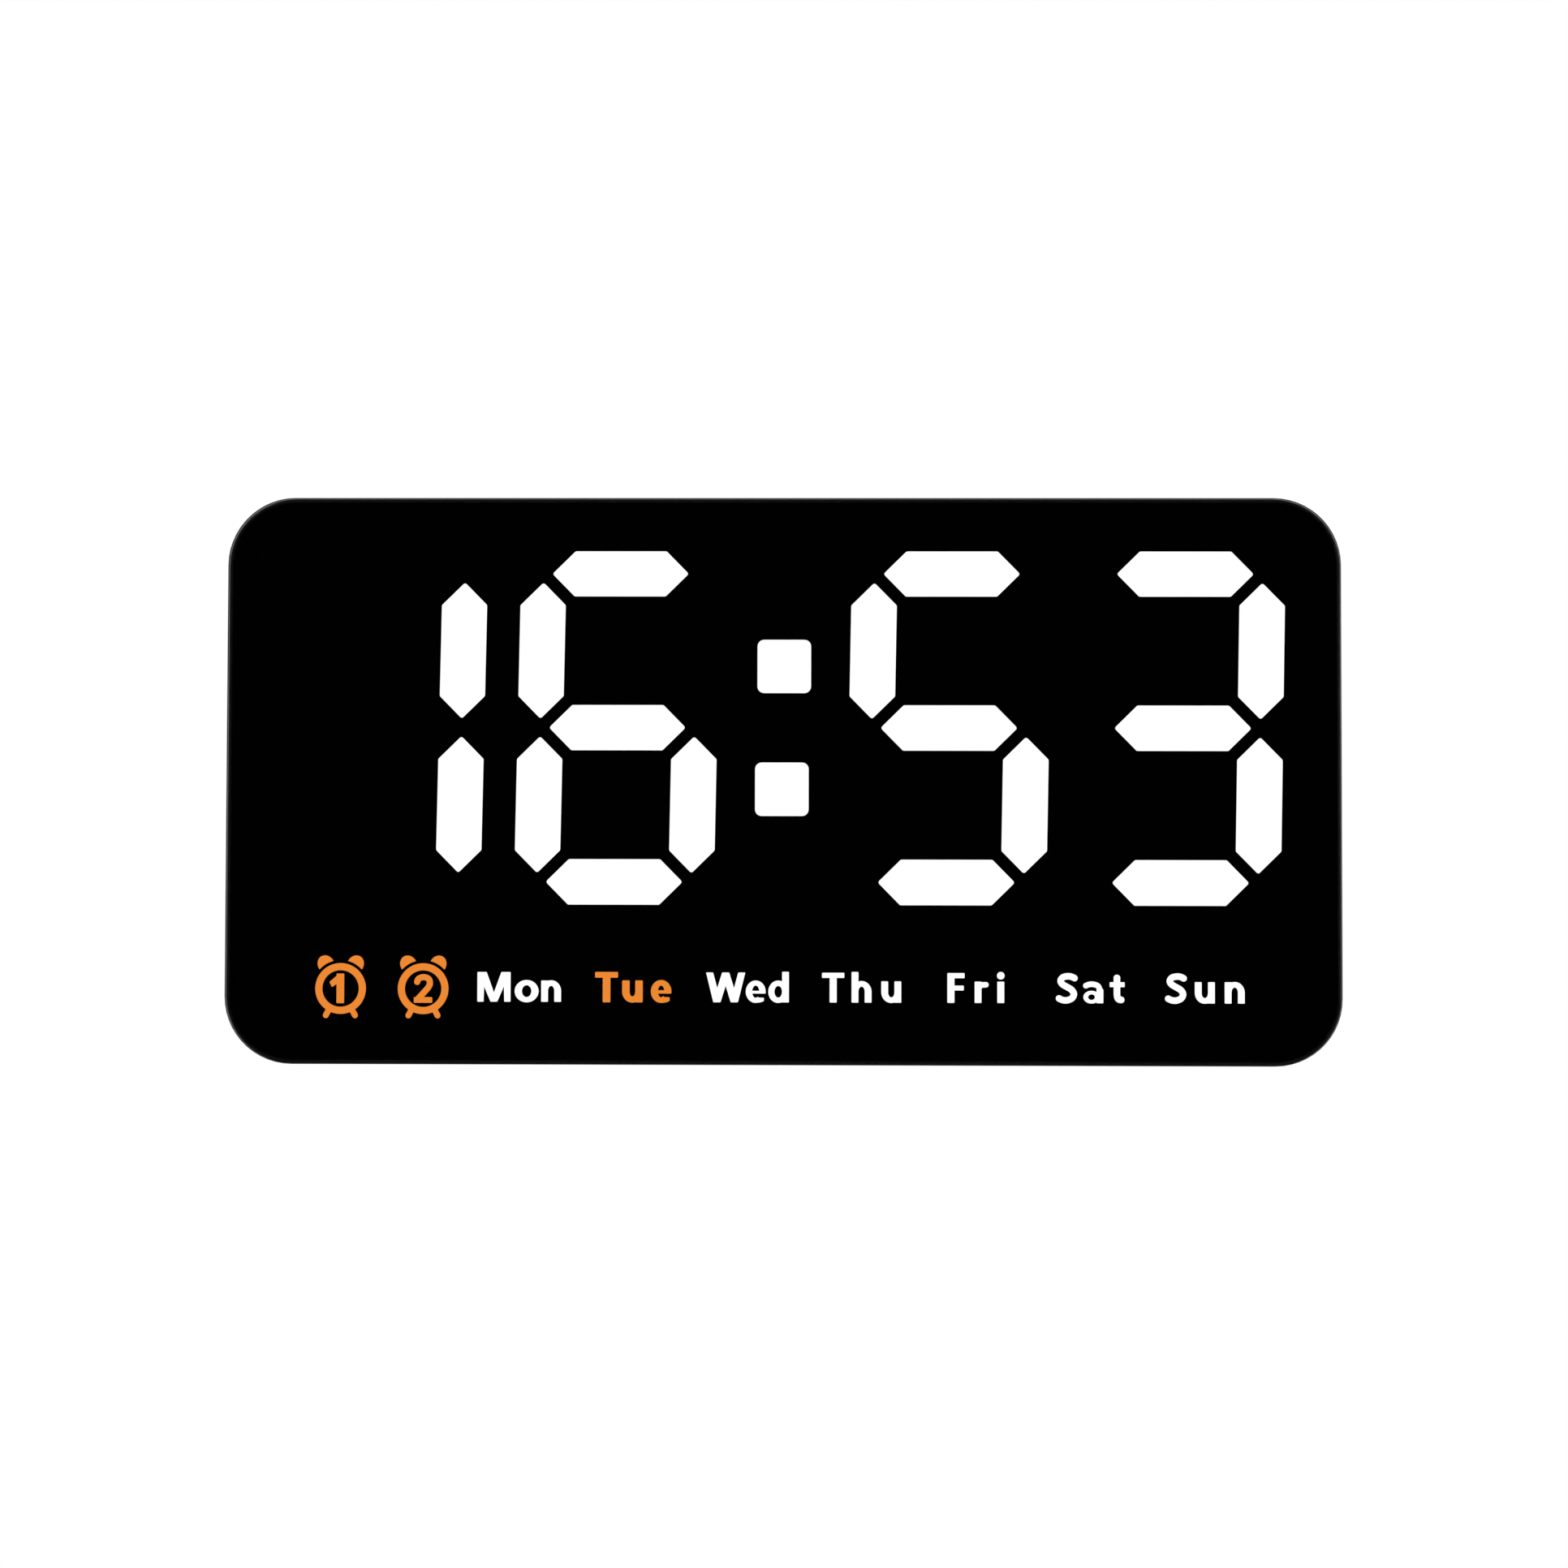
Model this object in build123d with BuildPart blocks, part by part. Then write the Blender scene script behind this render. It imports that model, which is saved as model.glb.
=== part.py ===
from build123d import *

import os
from math import atan, degrees, radians, sqrt, tan

# Digital wall clock: a slim LED clock that hangs on two wall screws.
# The origin lies on the wall, midway between the entries of the two keyholes.
# X runs to the right as seen from the front, Z runs up and the face looks along -Y.
# Sizes are millimetres. A depth is a distance from the wall towards the viewer.

# Digits and colon
segment_pitch = 22.9  # between the corners where segments meet
segment_width = 6.75
segment_gap = 1.85  # between the slanted ends of neighbouring segments
segment_corner = 0.35
digit_lean = 1.0  # degrees to the right
digit_pitch = 34.6  # between two digits of the hours or of the minutes
colon_pitch = 49.2  # between the two digits beside the colon
dot_size = 7.95
dot_corner = 1.0
dot_spacing = 18.25
shown_time = "1653"

# Row of signs and weekdays under the digits
alarm_count = 2
day_names = ["monday", "tuesday", "wednesday", "thursday", "friday", "saturday", "sunday"]
icon_width = 8.6
icon_height = 10.2
icon_pitch = 12.3
icon_to_day = 14.3  # from the second sign to the first weekday
day_width = 14.8
day_height = 6.8
day_pitch = 16.95
label_corner = 1.2

# Margins from the display to the edge of the case
side_margin = 8.475
top_margin = 7.8
row_gap = 7.1  # from the digits down to the row
foot_margin = 6.35

# Case
corner_radius = 10.0
wall = 2.0
back_wall = 2.0
back_edge_radius = 2.0
lip_height = 1.5
lip_clearance = 0.15
parting_margin = 0.95  # from the power recess up to the joint of the two halves
ledge_thickness = 1.6
frame_clearance = 0.3
boss_radius = 3.2
pillar_radius = 3.8
boss_gap = 1.5  # from the wall to the pillar
boss_clearance = 0.4

# Lens, tape and film
lens_thickness = 2.0
lens_edge_radius = 0.8
film_thickness = 0.25
film_gap = 0.05
film_overlap = 1.2
film_corner = 4.0
tape_inset = 0.6
tape_gap = 0.1

# Reflector and diffusers
reflector_depth = 8.0
diffuser_depth = 3.0
well_margin = 0.2  # a well is this much larger than its window
well_wall = 1.5
seat_step = 0.7  # ledge in the well that carries the diffuser
diffuser_clearance = 0.05

# Display board
board_thickness = 1.6
board_gap = 0.5
board_clearance = 0.4
led_length = 3.5
led_width = 2.8
led_height = 0.7

# Screws
screw_radius = 1.25
screw_head_radius = 2.3
screw_head_height = 1.8
screw_head_edge = 0.7
head_sink = 0.8
board_screw_radius = 0.85
board_screw_head_radius = 1.6
board_screw_head_height = 1.2
board_screw_head_edge = 0.4
thread_clearance = 0.05
screw_clearance = 0.3
screw_tip_wall = 2.4  # from the screw's end to the front of the frame
pilot_run = 0.6  # the pilot hole goes this much deeper than the screw
recess_width = 0.7
recess_length = 2.4
board_recess_length = 1.8
recess_depth = 0.7

# Battery cells, bay and contacts
cell_diameter = 10.5
cell_length = 44.5
cell_nub_radius = 1.9
cell_nub_length = 1.0
cell_shoulder = 0.6
cell_spacing = 0.3
cell_gap = 0.3  # from the door to the cells
cell_play = 0.2
bay_wall = 1.2
bay_floor = 1.0
bay_lift = 8.6  # from the bottom wall to the bay
plate_thickness = 0.4
plate_width = 8.5
plate_height = 9.0
dimple_radius = 1.6
dimple_height = 0.6
contact_gap = 0.05
spring_length = 4.5
spring_wire_radius = 0.25
spring_base_radius = 3.3
spring_top_radius = 2.3
spring_turns = 3
tail_width = 3.0
tail_thickness = 0.5
tail_length = 2.5
tail_clearance = 0.2
lead_radius = 0.6
lead_reach = 5.0
lead_bend = 2.0

# Battery door and its hinge
door_recess = 0.2
door_thickness = 1.6
door_ledge = 1.5
door_clearance = 0.3
door_seat_gap = 0.1
door_corner = 1.5
knuckle_radius = 1.1
hinge_gap = 0.3
hinge_pin_radius = 0.8
hinge_pin_clearance = 0.06
hinge_pin_length = 1.5
hinge_pin_end_gap = 0.2
cheek_width = 3.0
seat_wall = 1.2
tongue_width = 12.0
tongue_length = 8.0
tongue_slot = 0.8
grip_count = 3
grip_pitch = 1.6
grip_width = 0.6
grip_length = 8.0
grip_depth = 0.3
scoop_radius = 5.0
scoop_depth = 1.0

# Buttons and their switches
button_count = 5
button_pitch = 14.0
button_drop = 15.0  # from the top of the case
button_top = 0.3
button_travel = 0.6
cap_radius = 3.5
cap_edge = 0.4
cap_clearance = 0.3
flange_width = 1.2
flange_thickness = 1.0
flange_gap = 0.1
stem_radius = 1.5
strip_recess = 0.8
strip_margin = 2.5
strip_rim = 1.2
strip_edge = 0.4
switch_size = 6.0
switch_height = 3.5
plunger_radius = 1.75
plunger_rise = 1.5
plunger_seat = 1.0
plunger_clearance = 0.05
plunger_end_gap = 0.2

# Keyholes
keyhole_spacing = 104.0
keyhole_drop = 28.0  # from the top of the case
keyhole_radius = 4.5
keyhole_slot = 4.6
keyhole_run = 7.0
keyhole_margin = 1.25
keyhole_depth = 5.0
keyhole_wall = 1.2

# Power socket
usb_width = 8.94
usb_height = 3.26
usb_length = 7.35
usb_shell = 0.3
usb_hollow = 6.4
usb_tongue_width = 6.7
usb_tongue_thickness = 0.7
usb_tongue_length = 5.2
usb_lift = 22.0  # from the bottom of the case
usb_wall_gap = 0.05
usb_clearance = 0.1
usb_recess_width = 12.6
usb_recess_height = 7.0
usb_recess_depth = 1.0
usb_recess_corner = 2.0
usb_recess_edge = 0.4

# Parts on the back of the board
buzzer_radius = 6.0
buzzer_height = 6.0
buzzer_hole_radius = 1.0
buzzer_hole_depth = 1.5
slot_count = 5
slot_pitch = 2.4
slot_width = 1.2
slot_length = 8.0
slot_edge = 0.3
controller_size = 7.0
controller_height = 1.4
controller_pins = 8
controller_pin_pitch = 0.8
driver_length = 9.9
driver_width = 3.9
driver_height = 1.5
driver_pins = 8
driver_pin_pitch = 1.27
driver_spacing = 28.0
driver_lift = 11.0  # from the bay up to the driver chips
pin_width = 0.35
pin_reach = 1.0
pin_thickness = 0.7
crystal_length = 10.8
crystal_width = 4.5
crystal_height = 3.5
crystal_drop = 12.0  # from the controller
capacitor_radius = 3.15
capacitor_height = 5.8
capacitor_base = 6.6
capacitor_base_height = 0.8
capacitor_spacing = 12.0
capacitor_shift = 13.0  # from the buzzer
resistor_length = 2.0
resistor_width = 1.25
resistor_height = 0.5
resistor_count = 8
resistor_pitch = 5.0
resistor_rise = 7.5  # from the buttons

# Sizes that follow from those above
lean = tan(radians(digit_lean))
segment_length = segment_pitch - segment_gap * sqrt(2)
led_reach = segment_length / 4  # from the middle of a segment to each of its LEDs
digits_span = 2 * digit_pitch + colon_pitch + segment_pitch + segment_width
digits_height = 2 * segment_pitch + segment_width
days_reach = (len(day_names) - 1) * day_pitch
row_reach = (alarm_count - 1) * icon_pitch + icon_to_day + days_reach  # first sign to last weekday
row_span = icon_width / 2 + row_reach + day_width / 2
row_height = max(icon_height, day_height)
display_span = max(digits_span, row_span)
case_width = display_span + 2 * side_margin
case_height = top_margin + digits_height + row_gap + row_height + foot_margin
half_width = case_width / 2
case_top = keyhole_drop
case_foot = case_top - case_height
case_z = (case_top + case_foot) / 2
digits_z = case_top - top_margin - digits_height / 2
row_z = digits_z - digits_height / 2 - row_gap - row_height / 2
outer_digit_x = colon_pitch / 2 + digit_pitch
digit_centres = [-outer_digit_x, -colon_pitch / 2, colon_pitch / 2, outer_digit_x]

# Depths of the layers, from the wall to the front of the lens
cell_depth = door_recess + door_thickness + cell_gap + cell_diameter / 2
bay_floor_back = cell_depth + cell_diameter / 2 + cell_play
bay_floor_front = bay_floor_back + bay_floor
board_back = bay_floor_front + board_clearance
board_front = board_back + board_thickness
frame_front = board_front + reflector_depth
film_front = frame_front + film_thickness
lens_back = film_front + film_gap
ledge_back = frame_front - ledge_thickness
usb_depth = board_back - usb_height / 2
parting = usb_depth + usb_recess_height / 2 + parting_margin

# Places of the case screws and the display outline
boss_inset = wall + boss_gap + pillar_radius
boss_x = half_width - boss_inset
boss_z = case_height / 2 - boss_inset  # from the middle of the case
lip_inset = wall - (wall - lip_clearance) / 2
screw_end = frame_front - screw_tip_wall
display_edge = well_margin + well_wall
reflector_width = display_span + 2 * (segment_pitch * lean + display_edge)
reflector_top = digits_z + digits_height / 2 + display_edge
reflector_foot = row_z - row_height / 2 - display_edge
reflector_height = reflector_top - reflector_foot
reflector_z = (reflector_top + reflector_foot) / 2

# Battery bay and door
cell_pitch = cell_diameter + cell_spacing
bay_length = cell_length + spring_length + dimple_height + 2 * (plate_thickness + contact_gap)
bay_height = 2 * cell_pitch + cell_diameter + 2 * cell_play
bay_half = bay_length / 2
bay_foot = case_foot + wall + bay_lift + bay_wall
bay_top = bay_foot + bay_height
bay_z = bay_foot + bay_height / 2
cell_rows = [bay_z + cell_pitch, bay_z, bay_z - cell_pitch]
cell_turns = [1, -1, 1]  # the end each cell's nub points to
hinge_depth = door_recess + knuckle_radius
hinge_z = bay_top + door_ledge + knuckle_radius
door_foot = bay_foot - door_ledge
door_half = bay_half + door_ledge
door_seat = door_recess + door_thickness + door_seat_gap
hinge_trough = hinge_depth + knuckle_radius + hinge_gap
pad_front = hinge_trough + seat_wall

# Buttons, keyholes and the parts beside the bay
button_z = case_top - button_drop
strip_inside = back_wall + strip_recess
flange_back = strip_inside + flange_gap
flange_front = flange_back + flange_thickness
switch_top = board_back - switch_height
plunger_top = switch_top - plunger_rise
button_names = ["mode", "set", "up", "down", "alarm"]
pocket_half = keyhole_radius + keyhole_margin
pocket_foot = -pocket_half
pocket_top = keyhole_run + pocket_half
pocket_z = (pocket_foot + pocket_top) / 2
zone_x = (bay_half + bay_wall + half_width - wall) / 2
usb_z = case_foot + usb_lift
usb_mouth = wall + usb_wall_gap - half_width

# Each segment's middle in half pitches from the digit's centre, and whether it is upright
segment_grid = {
    "a": (0, 2, False),
    "b": (1, 1, True),
    "c": (1, -1, True),
    "d": (0, -2, False),
    "e": (-1, -1, True),
    "f": (-1, 1, True),
    "g": (0, 0, False),
}
figure_segments = {
    "0": "abcdef",
    "1": "bc",
    "2": "abdeg",
    "3": "abcdg",
    "4": "bcfg",
    "5": "acdfg",
    "6": "acdefg",
    "7": "abc",
    "8": "abcdefg",
    "9": "abcdfg",
}
all_segments = [(digit_x, name) for digit_x in digit_centres for name in segment_grid]
dot_places = [
    (lean * dot_spacing / 2, digits_z + dot_spacing / 2),
    (-lean * dot_spacing / 2, digits_z - dot_spacing / 2),
]
first_icon_x = (icon_width - row_span) / 2
icon_places = [(first_icon_x + icon_pitch * i, row_z) for i in range(alarm_count)]
first_day_x = icon_places[-1][0] + icon_to_day
day_places = [(first_day_x + day_pitch * i, row_z) for i in range(len(day_names))]
board_screw_places = [
    (digit_x, digits_z + side * segment_pitch / 2)
    for digit_x in (digit_centres[0], digit_centres[-1])
    for side in (1, -1)
]


def depth(distance):
    """Plane parallel to the wall; a sketch on it has x to the right and y up."""
    return Plane.XZ.offset(distance)


def across(x):
    """Plane square to X; a sketch on it has x along Y and y up."""
    return Plane.YZ.offset(x)


def save(piece, name):
    """Label a finished piece and write it under its own name."""
    piece.part.label = name
    export_step(piece.part, f"parts/{name}.step")


def lay_case_outline(inset, mode=Mode.ADD):
    """Outline of the case, drawn in all round."""
    with Locations((0, case_z)):
        RectangleRounded(
            case_width - 2 * inset, case_height - 2 * inset, corner_radius - inset, mode=mode
        )


def lay_boss_circles(radius, mode=Mode.ADD):
    """One circle at each of the four case screws."""
    with Locations((0, case_z)):
        with GridLocations(2 * boss_x, 2 * boss_z, 2, 2):
            Circle(radius, mode=mode)


def lay_crosses(arm_length):
    """Two crossed bars for the driver recess of a screw head."""
    Rectangle(recess_width, arm_length)
    Rectangle(arm_length, recess_width)


def lay_reflector_outline(grow):
    """Reflector outline with a notch at each corner that clears the screw bosses."""
    with Locations((0, reflector_z)):
        Rectangle(reflector_width + 2 * grow, reflector_height + 2 * grow)
    notch = boss_radius + boss_clearance - grow
    for side in (1, -1):
        for rise in (1, -1):
            align = (Align.MIN if side > 0 else Align.MAX, Align.MIN if rise > 0 else Align.MAX)
            with Locations((side * (boss_x - notch), case_z + rise * (boss_z - notch))):
                Rectangle(case_width, case_height, align=align, mode=Mode.SUBTRACT)


def lay_segments(sketch, chosen, grow):
    """Pointed bars of the chosen segments, each wider by grow all round, leaning with the digit."""
    tip = segment_length / 2 + grow * sqrt(2)
    side = segment_width / 2 + grow
    shoulder = tip - side
    bar = [(-tip, 0), (-shoulder, -side), (shoulder, -side), (tip, 0), (shoulder, side), (-shoulder, side)]
    for digit_x, name in chosen:
        column, row, upright = segment_grid[name]
        points = []
        for along, beside in bar:
            x, z = (-beside, along) if upright else (along, beside)
            x += column * segment_pitch / 2
            z += row * segment_pitch / 2
            points.append((digit_x + x + z * lean, digits_z + z))
        Polygon(*points)
    fillet(sketch.vertices(), segment_corner)


def lay_dots(grow):
    """The two colon dots."""
    with Locations(*dot_places):
        RectangleRounded(dot_size + 2 * grow, dot_size + 2 * grow, dot_corner)


def lay_icons(places, grow):
    """Rounded fields of alarm signs."""
    with Locations(*places):
        RectangleRounded(icon_width + 2 * grow, icon_height + 2 * grow, label_corner)


def lay_days(places, grow):
    """Rounded fields of weekday words."""
    with Locations(*places):
        RectangleRounded(day_width + 2 * grow, day_height + 2 * grow, label_corner)


def lay_wells(sketch, grow):
    """Outlines of every light well of the reflector."""
    lay_segments(sketch, all_segments, grow)
    lay_dots(grow)
    lay_icons(icon_places, grow)
    lay_days(day_places, grow)


def lay_door_recess(sketch):
    """Recess that the battery door lies in, with its two lower corners rounded."""
    foot = door_foot - door_clearance
    top = hinge_z + knuckle_radius + hinge_gap
    with Locations((0, (foot + top) / 2)):
        Rectangle(2 * (door_half + door_clearance), top - foot)
    fillet(sketch.vertices().group_by(Axis.Y)[0], door_corner + door_clearance)


def lay_button_strip(grow):
    """Round-ended strip around the row of buttons."""
    strip_radius = cap_radius + strip_margin + grow
    with Locations((0, button_z)):
        SlotCenterToCenter((button_count - 1) * button_pitch, 2 * strip_radius)


def lay_button_circles(radius):
    """One circle at each button."""
    with Locations((0, button_z)):
        with GridLocations(button_pitch, button_pitch, button_count, 1):
            Circle(radius)


def lay_keyhole_pockets(grow):
    """Rooms behind the keyholes that take the heads of the wall screws."""
    with Locations((0, pocket_z)):
        with GridLocations(keyhole_spacing, keyhole_spacing, 2, 1):
            Rectangle(2 * (pocket_half + grow), pocket_top - pocket_foot + 2 * grow)


os.makedirs("parts", exist_ok=True)

# Front lens: a smoked panel over the whole face
with BuildPart() as front_lens:
    with BuildSketch(depth(lens_back)):
        lay_case_outline(0)
    extrude(amount=lens_thickness)
    fillet(front_lens.faces().sort_by(Axis.Y)[0].edges(), lens_edge_radius)
save(front_lens, "front_lens")

# Tape ring that holds the lens on the frame
with BuildPart() as lens_tape:
    with BuildSketch(depth(frame_front)):
        lay_case_outline(tape_inset)
        with Locations((0, reflector_z)):
            RectangleRounded(
                reflector_width + 2 * (film_overlap + tape_gap),
                reflector_height + 2 * (film_overlap + tape_gap),
                film_corner + tape_gap,
                mode=Mode.SUBTRACT,
            )
    extrude(amount=lens_back - frame_front)
save(lens_tape, "lens_tape")

# Legend film: a black sheet with clear windows for the digits and the colon
with BuildPart() as legend_film:
    with BuildSketch(depth(frame_front)):
        with Locations((0, reflector_z)):
            RectangleRounded(
                reflector_width + 2 * film_overlap, reflector_height + 2 * film_overlap, film_corner
            )
    extrude(amount=film_thickness)
    with BuildSketch(depth(frame_front)) as windows:
        lay_segments(windows, all_segments, 0)
        lay_dots(0)
    extrude(amount=film_thickness, mode=Mode.SUBTRACT)
save(legend_film, "legend_film")

# Front frame: side walls, a ledge for the lens and four screw bosses
with BuildPart() as front_frame:
    with BuildSketch(depth(parting)):
        lay_case_outline(0)
    extrude(amount=frame_front - parting)
    with BuildSketch(depth(parting)):
        lay_case_outline(wall)
    extrude(amount=ledge_back - parting, mode=Mode.SUBTRACT)
    with BuildSketch(depth(parting)):
        lay_case_outline(lip_inset - lip_clearance)
    extrude(amount=lip_height + lip_clearance, mode=Mode.SUBTRACT)
    with BuildSketch(depth(ledge_back)):
        lay_reflector_outline(frame_clearance)
    extrude(amount=ledge_thickness, mode=Mode.SUBTRACT)
    with BuildSketch(depth(board_front)):
        lay_boss_circles(boss_radius)
    extrude(amount=ledge_back - board_front)
    with BuildSketch(depth(board_front)):
        lay_boss_circles(screw_radius + thread_clearance)
    extrude(amount=screw_end + pilot_run - board_front, mode=Mode.SUBTRACT)
save(front_frame, "front_frame")

# Reflector: a white block with a stepped well behind each window
with BuildPart() as reflector_block:
    with BuildSketch(depth(board_front)):
        lay_reflector_outline(0)
    extrude(amount=reflector_depth)
    with BuildSketch(depth(frame_front - diffuser_depth)) as seats:
        lay_wells(seats, well_margin)
    extrude(amount=diffuser_depth, mode=Mode.SUBTRACT)
    with BuildSketch(depth(board_front)) as wells:
        lay_wells(wells, well_margin - seat_step)
    extrude(amount=reflector_depth, mode=Mode.SUBTRACT)
    with BuildSketch(depth(board_front)):
        with Locations(*board_screw_places):
            Circle(board_screw_radius + thread_clearance)
    extrude(amount=screw_end + pilot_run - board_front, mode=Mode.SUBTRACT)
save(reflector_block, "reflector_block")

# Diffusers of the digits: the lit segments of a figure are one set, the dark ones another
diffuser_back = frame_front - diffuser_depth
diffuser_grow = well_margin - diffuser_clearance
digit_names = ["hour_tens", "hour_units", "minute_tens", "minute_units"]
for digit_name, digit_x, figure in zip(digit_names, digit_centres, shown_time):
    lit = [(digit_x, name) for name in segment_grid if name in figure_segments[figure]]
    dark = [(digit_x, name) for name in segment_grid if name not in figure_segments[figure]]
    for state, chosen in (("lit", lit), ("dark", dark)):
        if chosen:
            with BuildPart() as diffusers:
                with BuildSketch(depth(diffuser_back)) as bars:
                    lay_segments(bars, chosen, diffuser_grow)
                extrude(amount=diffuser_depth)
            save(diffusers, f"{digit_name}_{state}")

# Diffusers of the colon, the alarm signs and the weekdays
with BuildPart() as colon_dots:
    with BuildSketch(depth(diffuser_back)):
        lay_dots(diffuser_grow)
    extrude(amount=diffuser_depth)
save(colon_dots, "colon_dots")

for number, place in enumerate(icon_places, start=1):
    with BuildPart() as alarm_light:
        with BuildSketch(depth(diffuser_back)):
            lay_icons([place], diffuser_grow)
        extrude(amount=diffuser_depth)
    save(alarm_light, f"alarm_{number}_light")

for day_name, place in zip(day_names, day_places):
    with BuildPart() as day_light:
        with BuildSketch(depth(diffuser_back)):
            lay_days([place], diffuser_grow)
        extrude(amount=diffuser_depth)
    save(day_light, f"{day_name}_light")

# Display board with its screw holes
with BuildPart() as display_board:
    with BuildSketch(depth(board_back)):
        lay_case_outline(wall + board_gap)
        lay_boss_circles(screw_radius + screw_clearance, Mode.SUBTRACT)
        with Locations(*board_screw_places):
            Circle(board_screw_radius + screw_clearance, mode=Mode.SUBTRACT)
    extrude(amount=board_thickness)
save(display_board, "display_board")

# LEDs: two behind each segment, one behind each dot, sign and word
with BuildPart() as segment_leds:
    with BuildSketch(depth(board_front)):
        for digit_x, name in all_segments:
            column, row, upright = segment_grid[name]
            for side in (1, -1):
                x = column * segment_pitch / 2
                z = row * segment_pitch / 2
                if upright:
                    z += side * led_reach
                else:
                    x += side * led_reach
                with Locations((digit_x + x + z * lean, digits_z + z)):
                    Rectangle(led_length, led_width, rotation=90 if upright else 0)
        with Locations(*dot_places, *icon_places, *day_places):
            Rectangle(led_length, led_width)
    extrude(amount=led_height)
save(segment_leds, "segment_leds")

# Screws that hold the board on the reflector
with BuildPart() as board_screws:
    with BuildSketch(depth(board_back - board_screw_head_height)):
        with Locations(*board_screw_places):
            Circle(board_screw_head_radius)
    extrude(amount=board_screw_head_height)
    fillet(board_screws.edges().group_by(Axis.Y)[-1], board_screw_head_edge)
    with BuildSketch(depth(board_back)):
        with Locations(*board_screw_places):
            Circle(board_screw_radius)
    extrude(amount=screw_end - board_back)
    with BuildSketch(depth(board_back - board_screw_head_height)):
        with Locations(*board_screw_places):
            lay_crosses(board_recess_length)
    extrude(amount=recess_depth, mode=Mode.SUBTRACT)
save(board_screws, "board_screws")

# Rear cover: a tray with pillars, battery bay, button strip and keyholes
with BuildPart() as rear_cover:
    with BuildSketch(depth(0)):
        lay_case_outline(0)
    extrude(amount=parting)
    fillet(rear_cover.faces().sort_by(Axis.Y)[-1].edges(), back_edge_radius)
    with BuildSketch(depth(back_wall)):
        lay_case_outline(wall)
    extrude(amount=parting - back_wall, mode=Mode.SUBTRACT)
    with BuildSketch(depth(parting)):
        lay_case_outline(lip_inset)
        lay_case_outline(wall, Mode.SUBTRACT)
    extrude(amount=lip_height)

    # Pillars, bay walls, door seat, button pad and keyhole rooms stand on the back wall
    with BuildSketch(depth(back_wall)):
        lay_boss_circles(pillar_radius)
    extrude(amount=board_back - back_wall)
    with BuildSketch(depth(back_wall)):
        with Locations((0, bay_z)):
            Rectangle(bay_length + 2 * bay_wall, bay_height + 2 * bay_wall)
    extrude(amount=bay_floor_front - back_wall)
    with BuildSketch(depth(back_wall)):
        pad_foot = door_foot - door_clearance - seat_wall
        pad_top = hinge_z + knuckle_radius + hinge_gap + seat_wall
        with Locations((0, (pad_foot + pad_top) / 2)):
            Rectangle(2 * (door_half + door_clearance + cheek_width), pad_top - pad_foot)
    extrude(amount=pad_front - back_wall)
    with BuildSketch(depth(back_wall)):
        lay_button_strip(strip_rim)
    extrude(amount=strip_recess)
    with BuildSketch(depth(back_wall)):
        lay_keyhole_pockets(keyhole_wall)
    extrude(amount=keyhole_depth + keyhole_wall)

    # Battery bay, door recess, hinge trough, hinge pin holes and finger scoop
    with BuildSketch(depth(0)):
        with Locations((0, bay_z)):
            Rectangle(bay_length, bay_height)
    extrude(amount=bay_floor_back, mode=Mode.SUBTRACT)
    with BuildSketch(depth(0)) as recess:
        lay_door_recess(recess)
    extrude(amount=door_seat, mode=Mode.SUBTRACT)
    with BuildSketch(depth(0)):
        with Locations((0, hinge_z)):
            Rectangle(2 * (door_half + door_clearance), 2 * (knuckle_radius + hinge_gap))
    extrude(amount=hinge_trough, mode=Mode.SUBTRACT)
    with BuildSketch(across(0)):
        with Locations((-hinge_depth, hinge_z)):
            Circle(hinge_pin_radius + hinge_pin_clearance)
    pin_hole_half = door_half + door_clearance + hinge_pin_length + hinge_pin_end_gap
    extrude(amount=pin_hole_half, both=True, mode=Mode.SUBTRACT)
    with BuildSketch(depth(0)):
        with Locations((0, door_foot - door_clearance)):
            Circle(scoop_radius)
    extrude(amount=scoop_depth, mode=Mode.SUBTRACT)

    # Slots in the bay's ends for the tails of the single contact plates
    with BuildSketch(across(bay_half)):
        with Locations((-cell_depth, cell_rows[0])):
            Rectangle(tail_thickness + 2 * tail_clearance, tail_width + 2 * tail_clearance)
    extrude(amount=bay_wall, mode=Mode.SUBTRACT)
    with BuildSketch(across(-bay_half)):
        with Locations((-cell_depth, cell_rows[2])):
            Rectangle(tail_thickness + 2 * tail_clearance, tail_width + 2 * tail_clearance)
    extrude(amount=-bay_wall, mode=Mode.SUBTRACT)

    # Button strip and holes
    with BuildSketch(depth(0)):
        lay_button_strip(0)
    extrude(amount=strip_recess, mode=Mode.SUBTRACT)
    fillet(rear_cover.edges(Select.LAST).group_by(Axis.Y)[-1], strip_edge)
    with BuildSketch(depth(strip_recess)):
        lay_button_circles(cap_radius + cap_clearance)
    extrude(amount=back_wall, mode=Mode.SUBTRACT)

    # Keyholes: a round entry for the screw head, a slot above it and room behind
    with BuildSketch(depth(0)):
        with GridLocations(keyhole_spacing, keyhole_spacing, 2, 1):
            Circle(keyhole_radius)
            Rectangle(keyhole_slot, keyhole_run, align=(Align.CENTER, Align.MIN))
        with Locations((0, keyhole_run)):
            with GridLocations(keyhole_spacing, keyhole_spacing, 2, 1):
                Circle(keyhole_slot / 2)
    extrude(amount=back_wall, mode=Mode.SUBTRACT)
    with BuildSketch(depth(back_wall)):
        lay_keyhole_pockets(0)
    extrude(amount=keyhole_depth, mode=Mode.SUBTRACT)

    # Case screw holes with sunk heads
    with BuildSketch(depth(0)):
        lay_boss_circles(screw_radius + screw_clearance)
    extrude(amount=board_back, mode=Mode.SUBTRACT)
    with BuildSketch(depth(0)):
        lay_boss_circles(screw_head_radius + screw_clearance)
    extrude(amount=head_sink + screw_head_height, mode=Mode.SUBTRACT)

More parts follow.
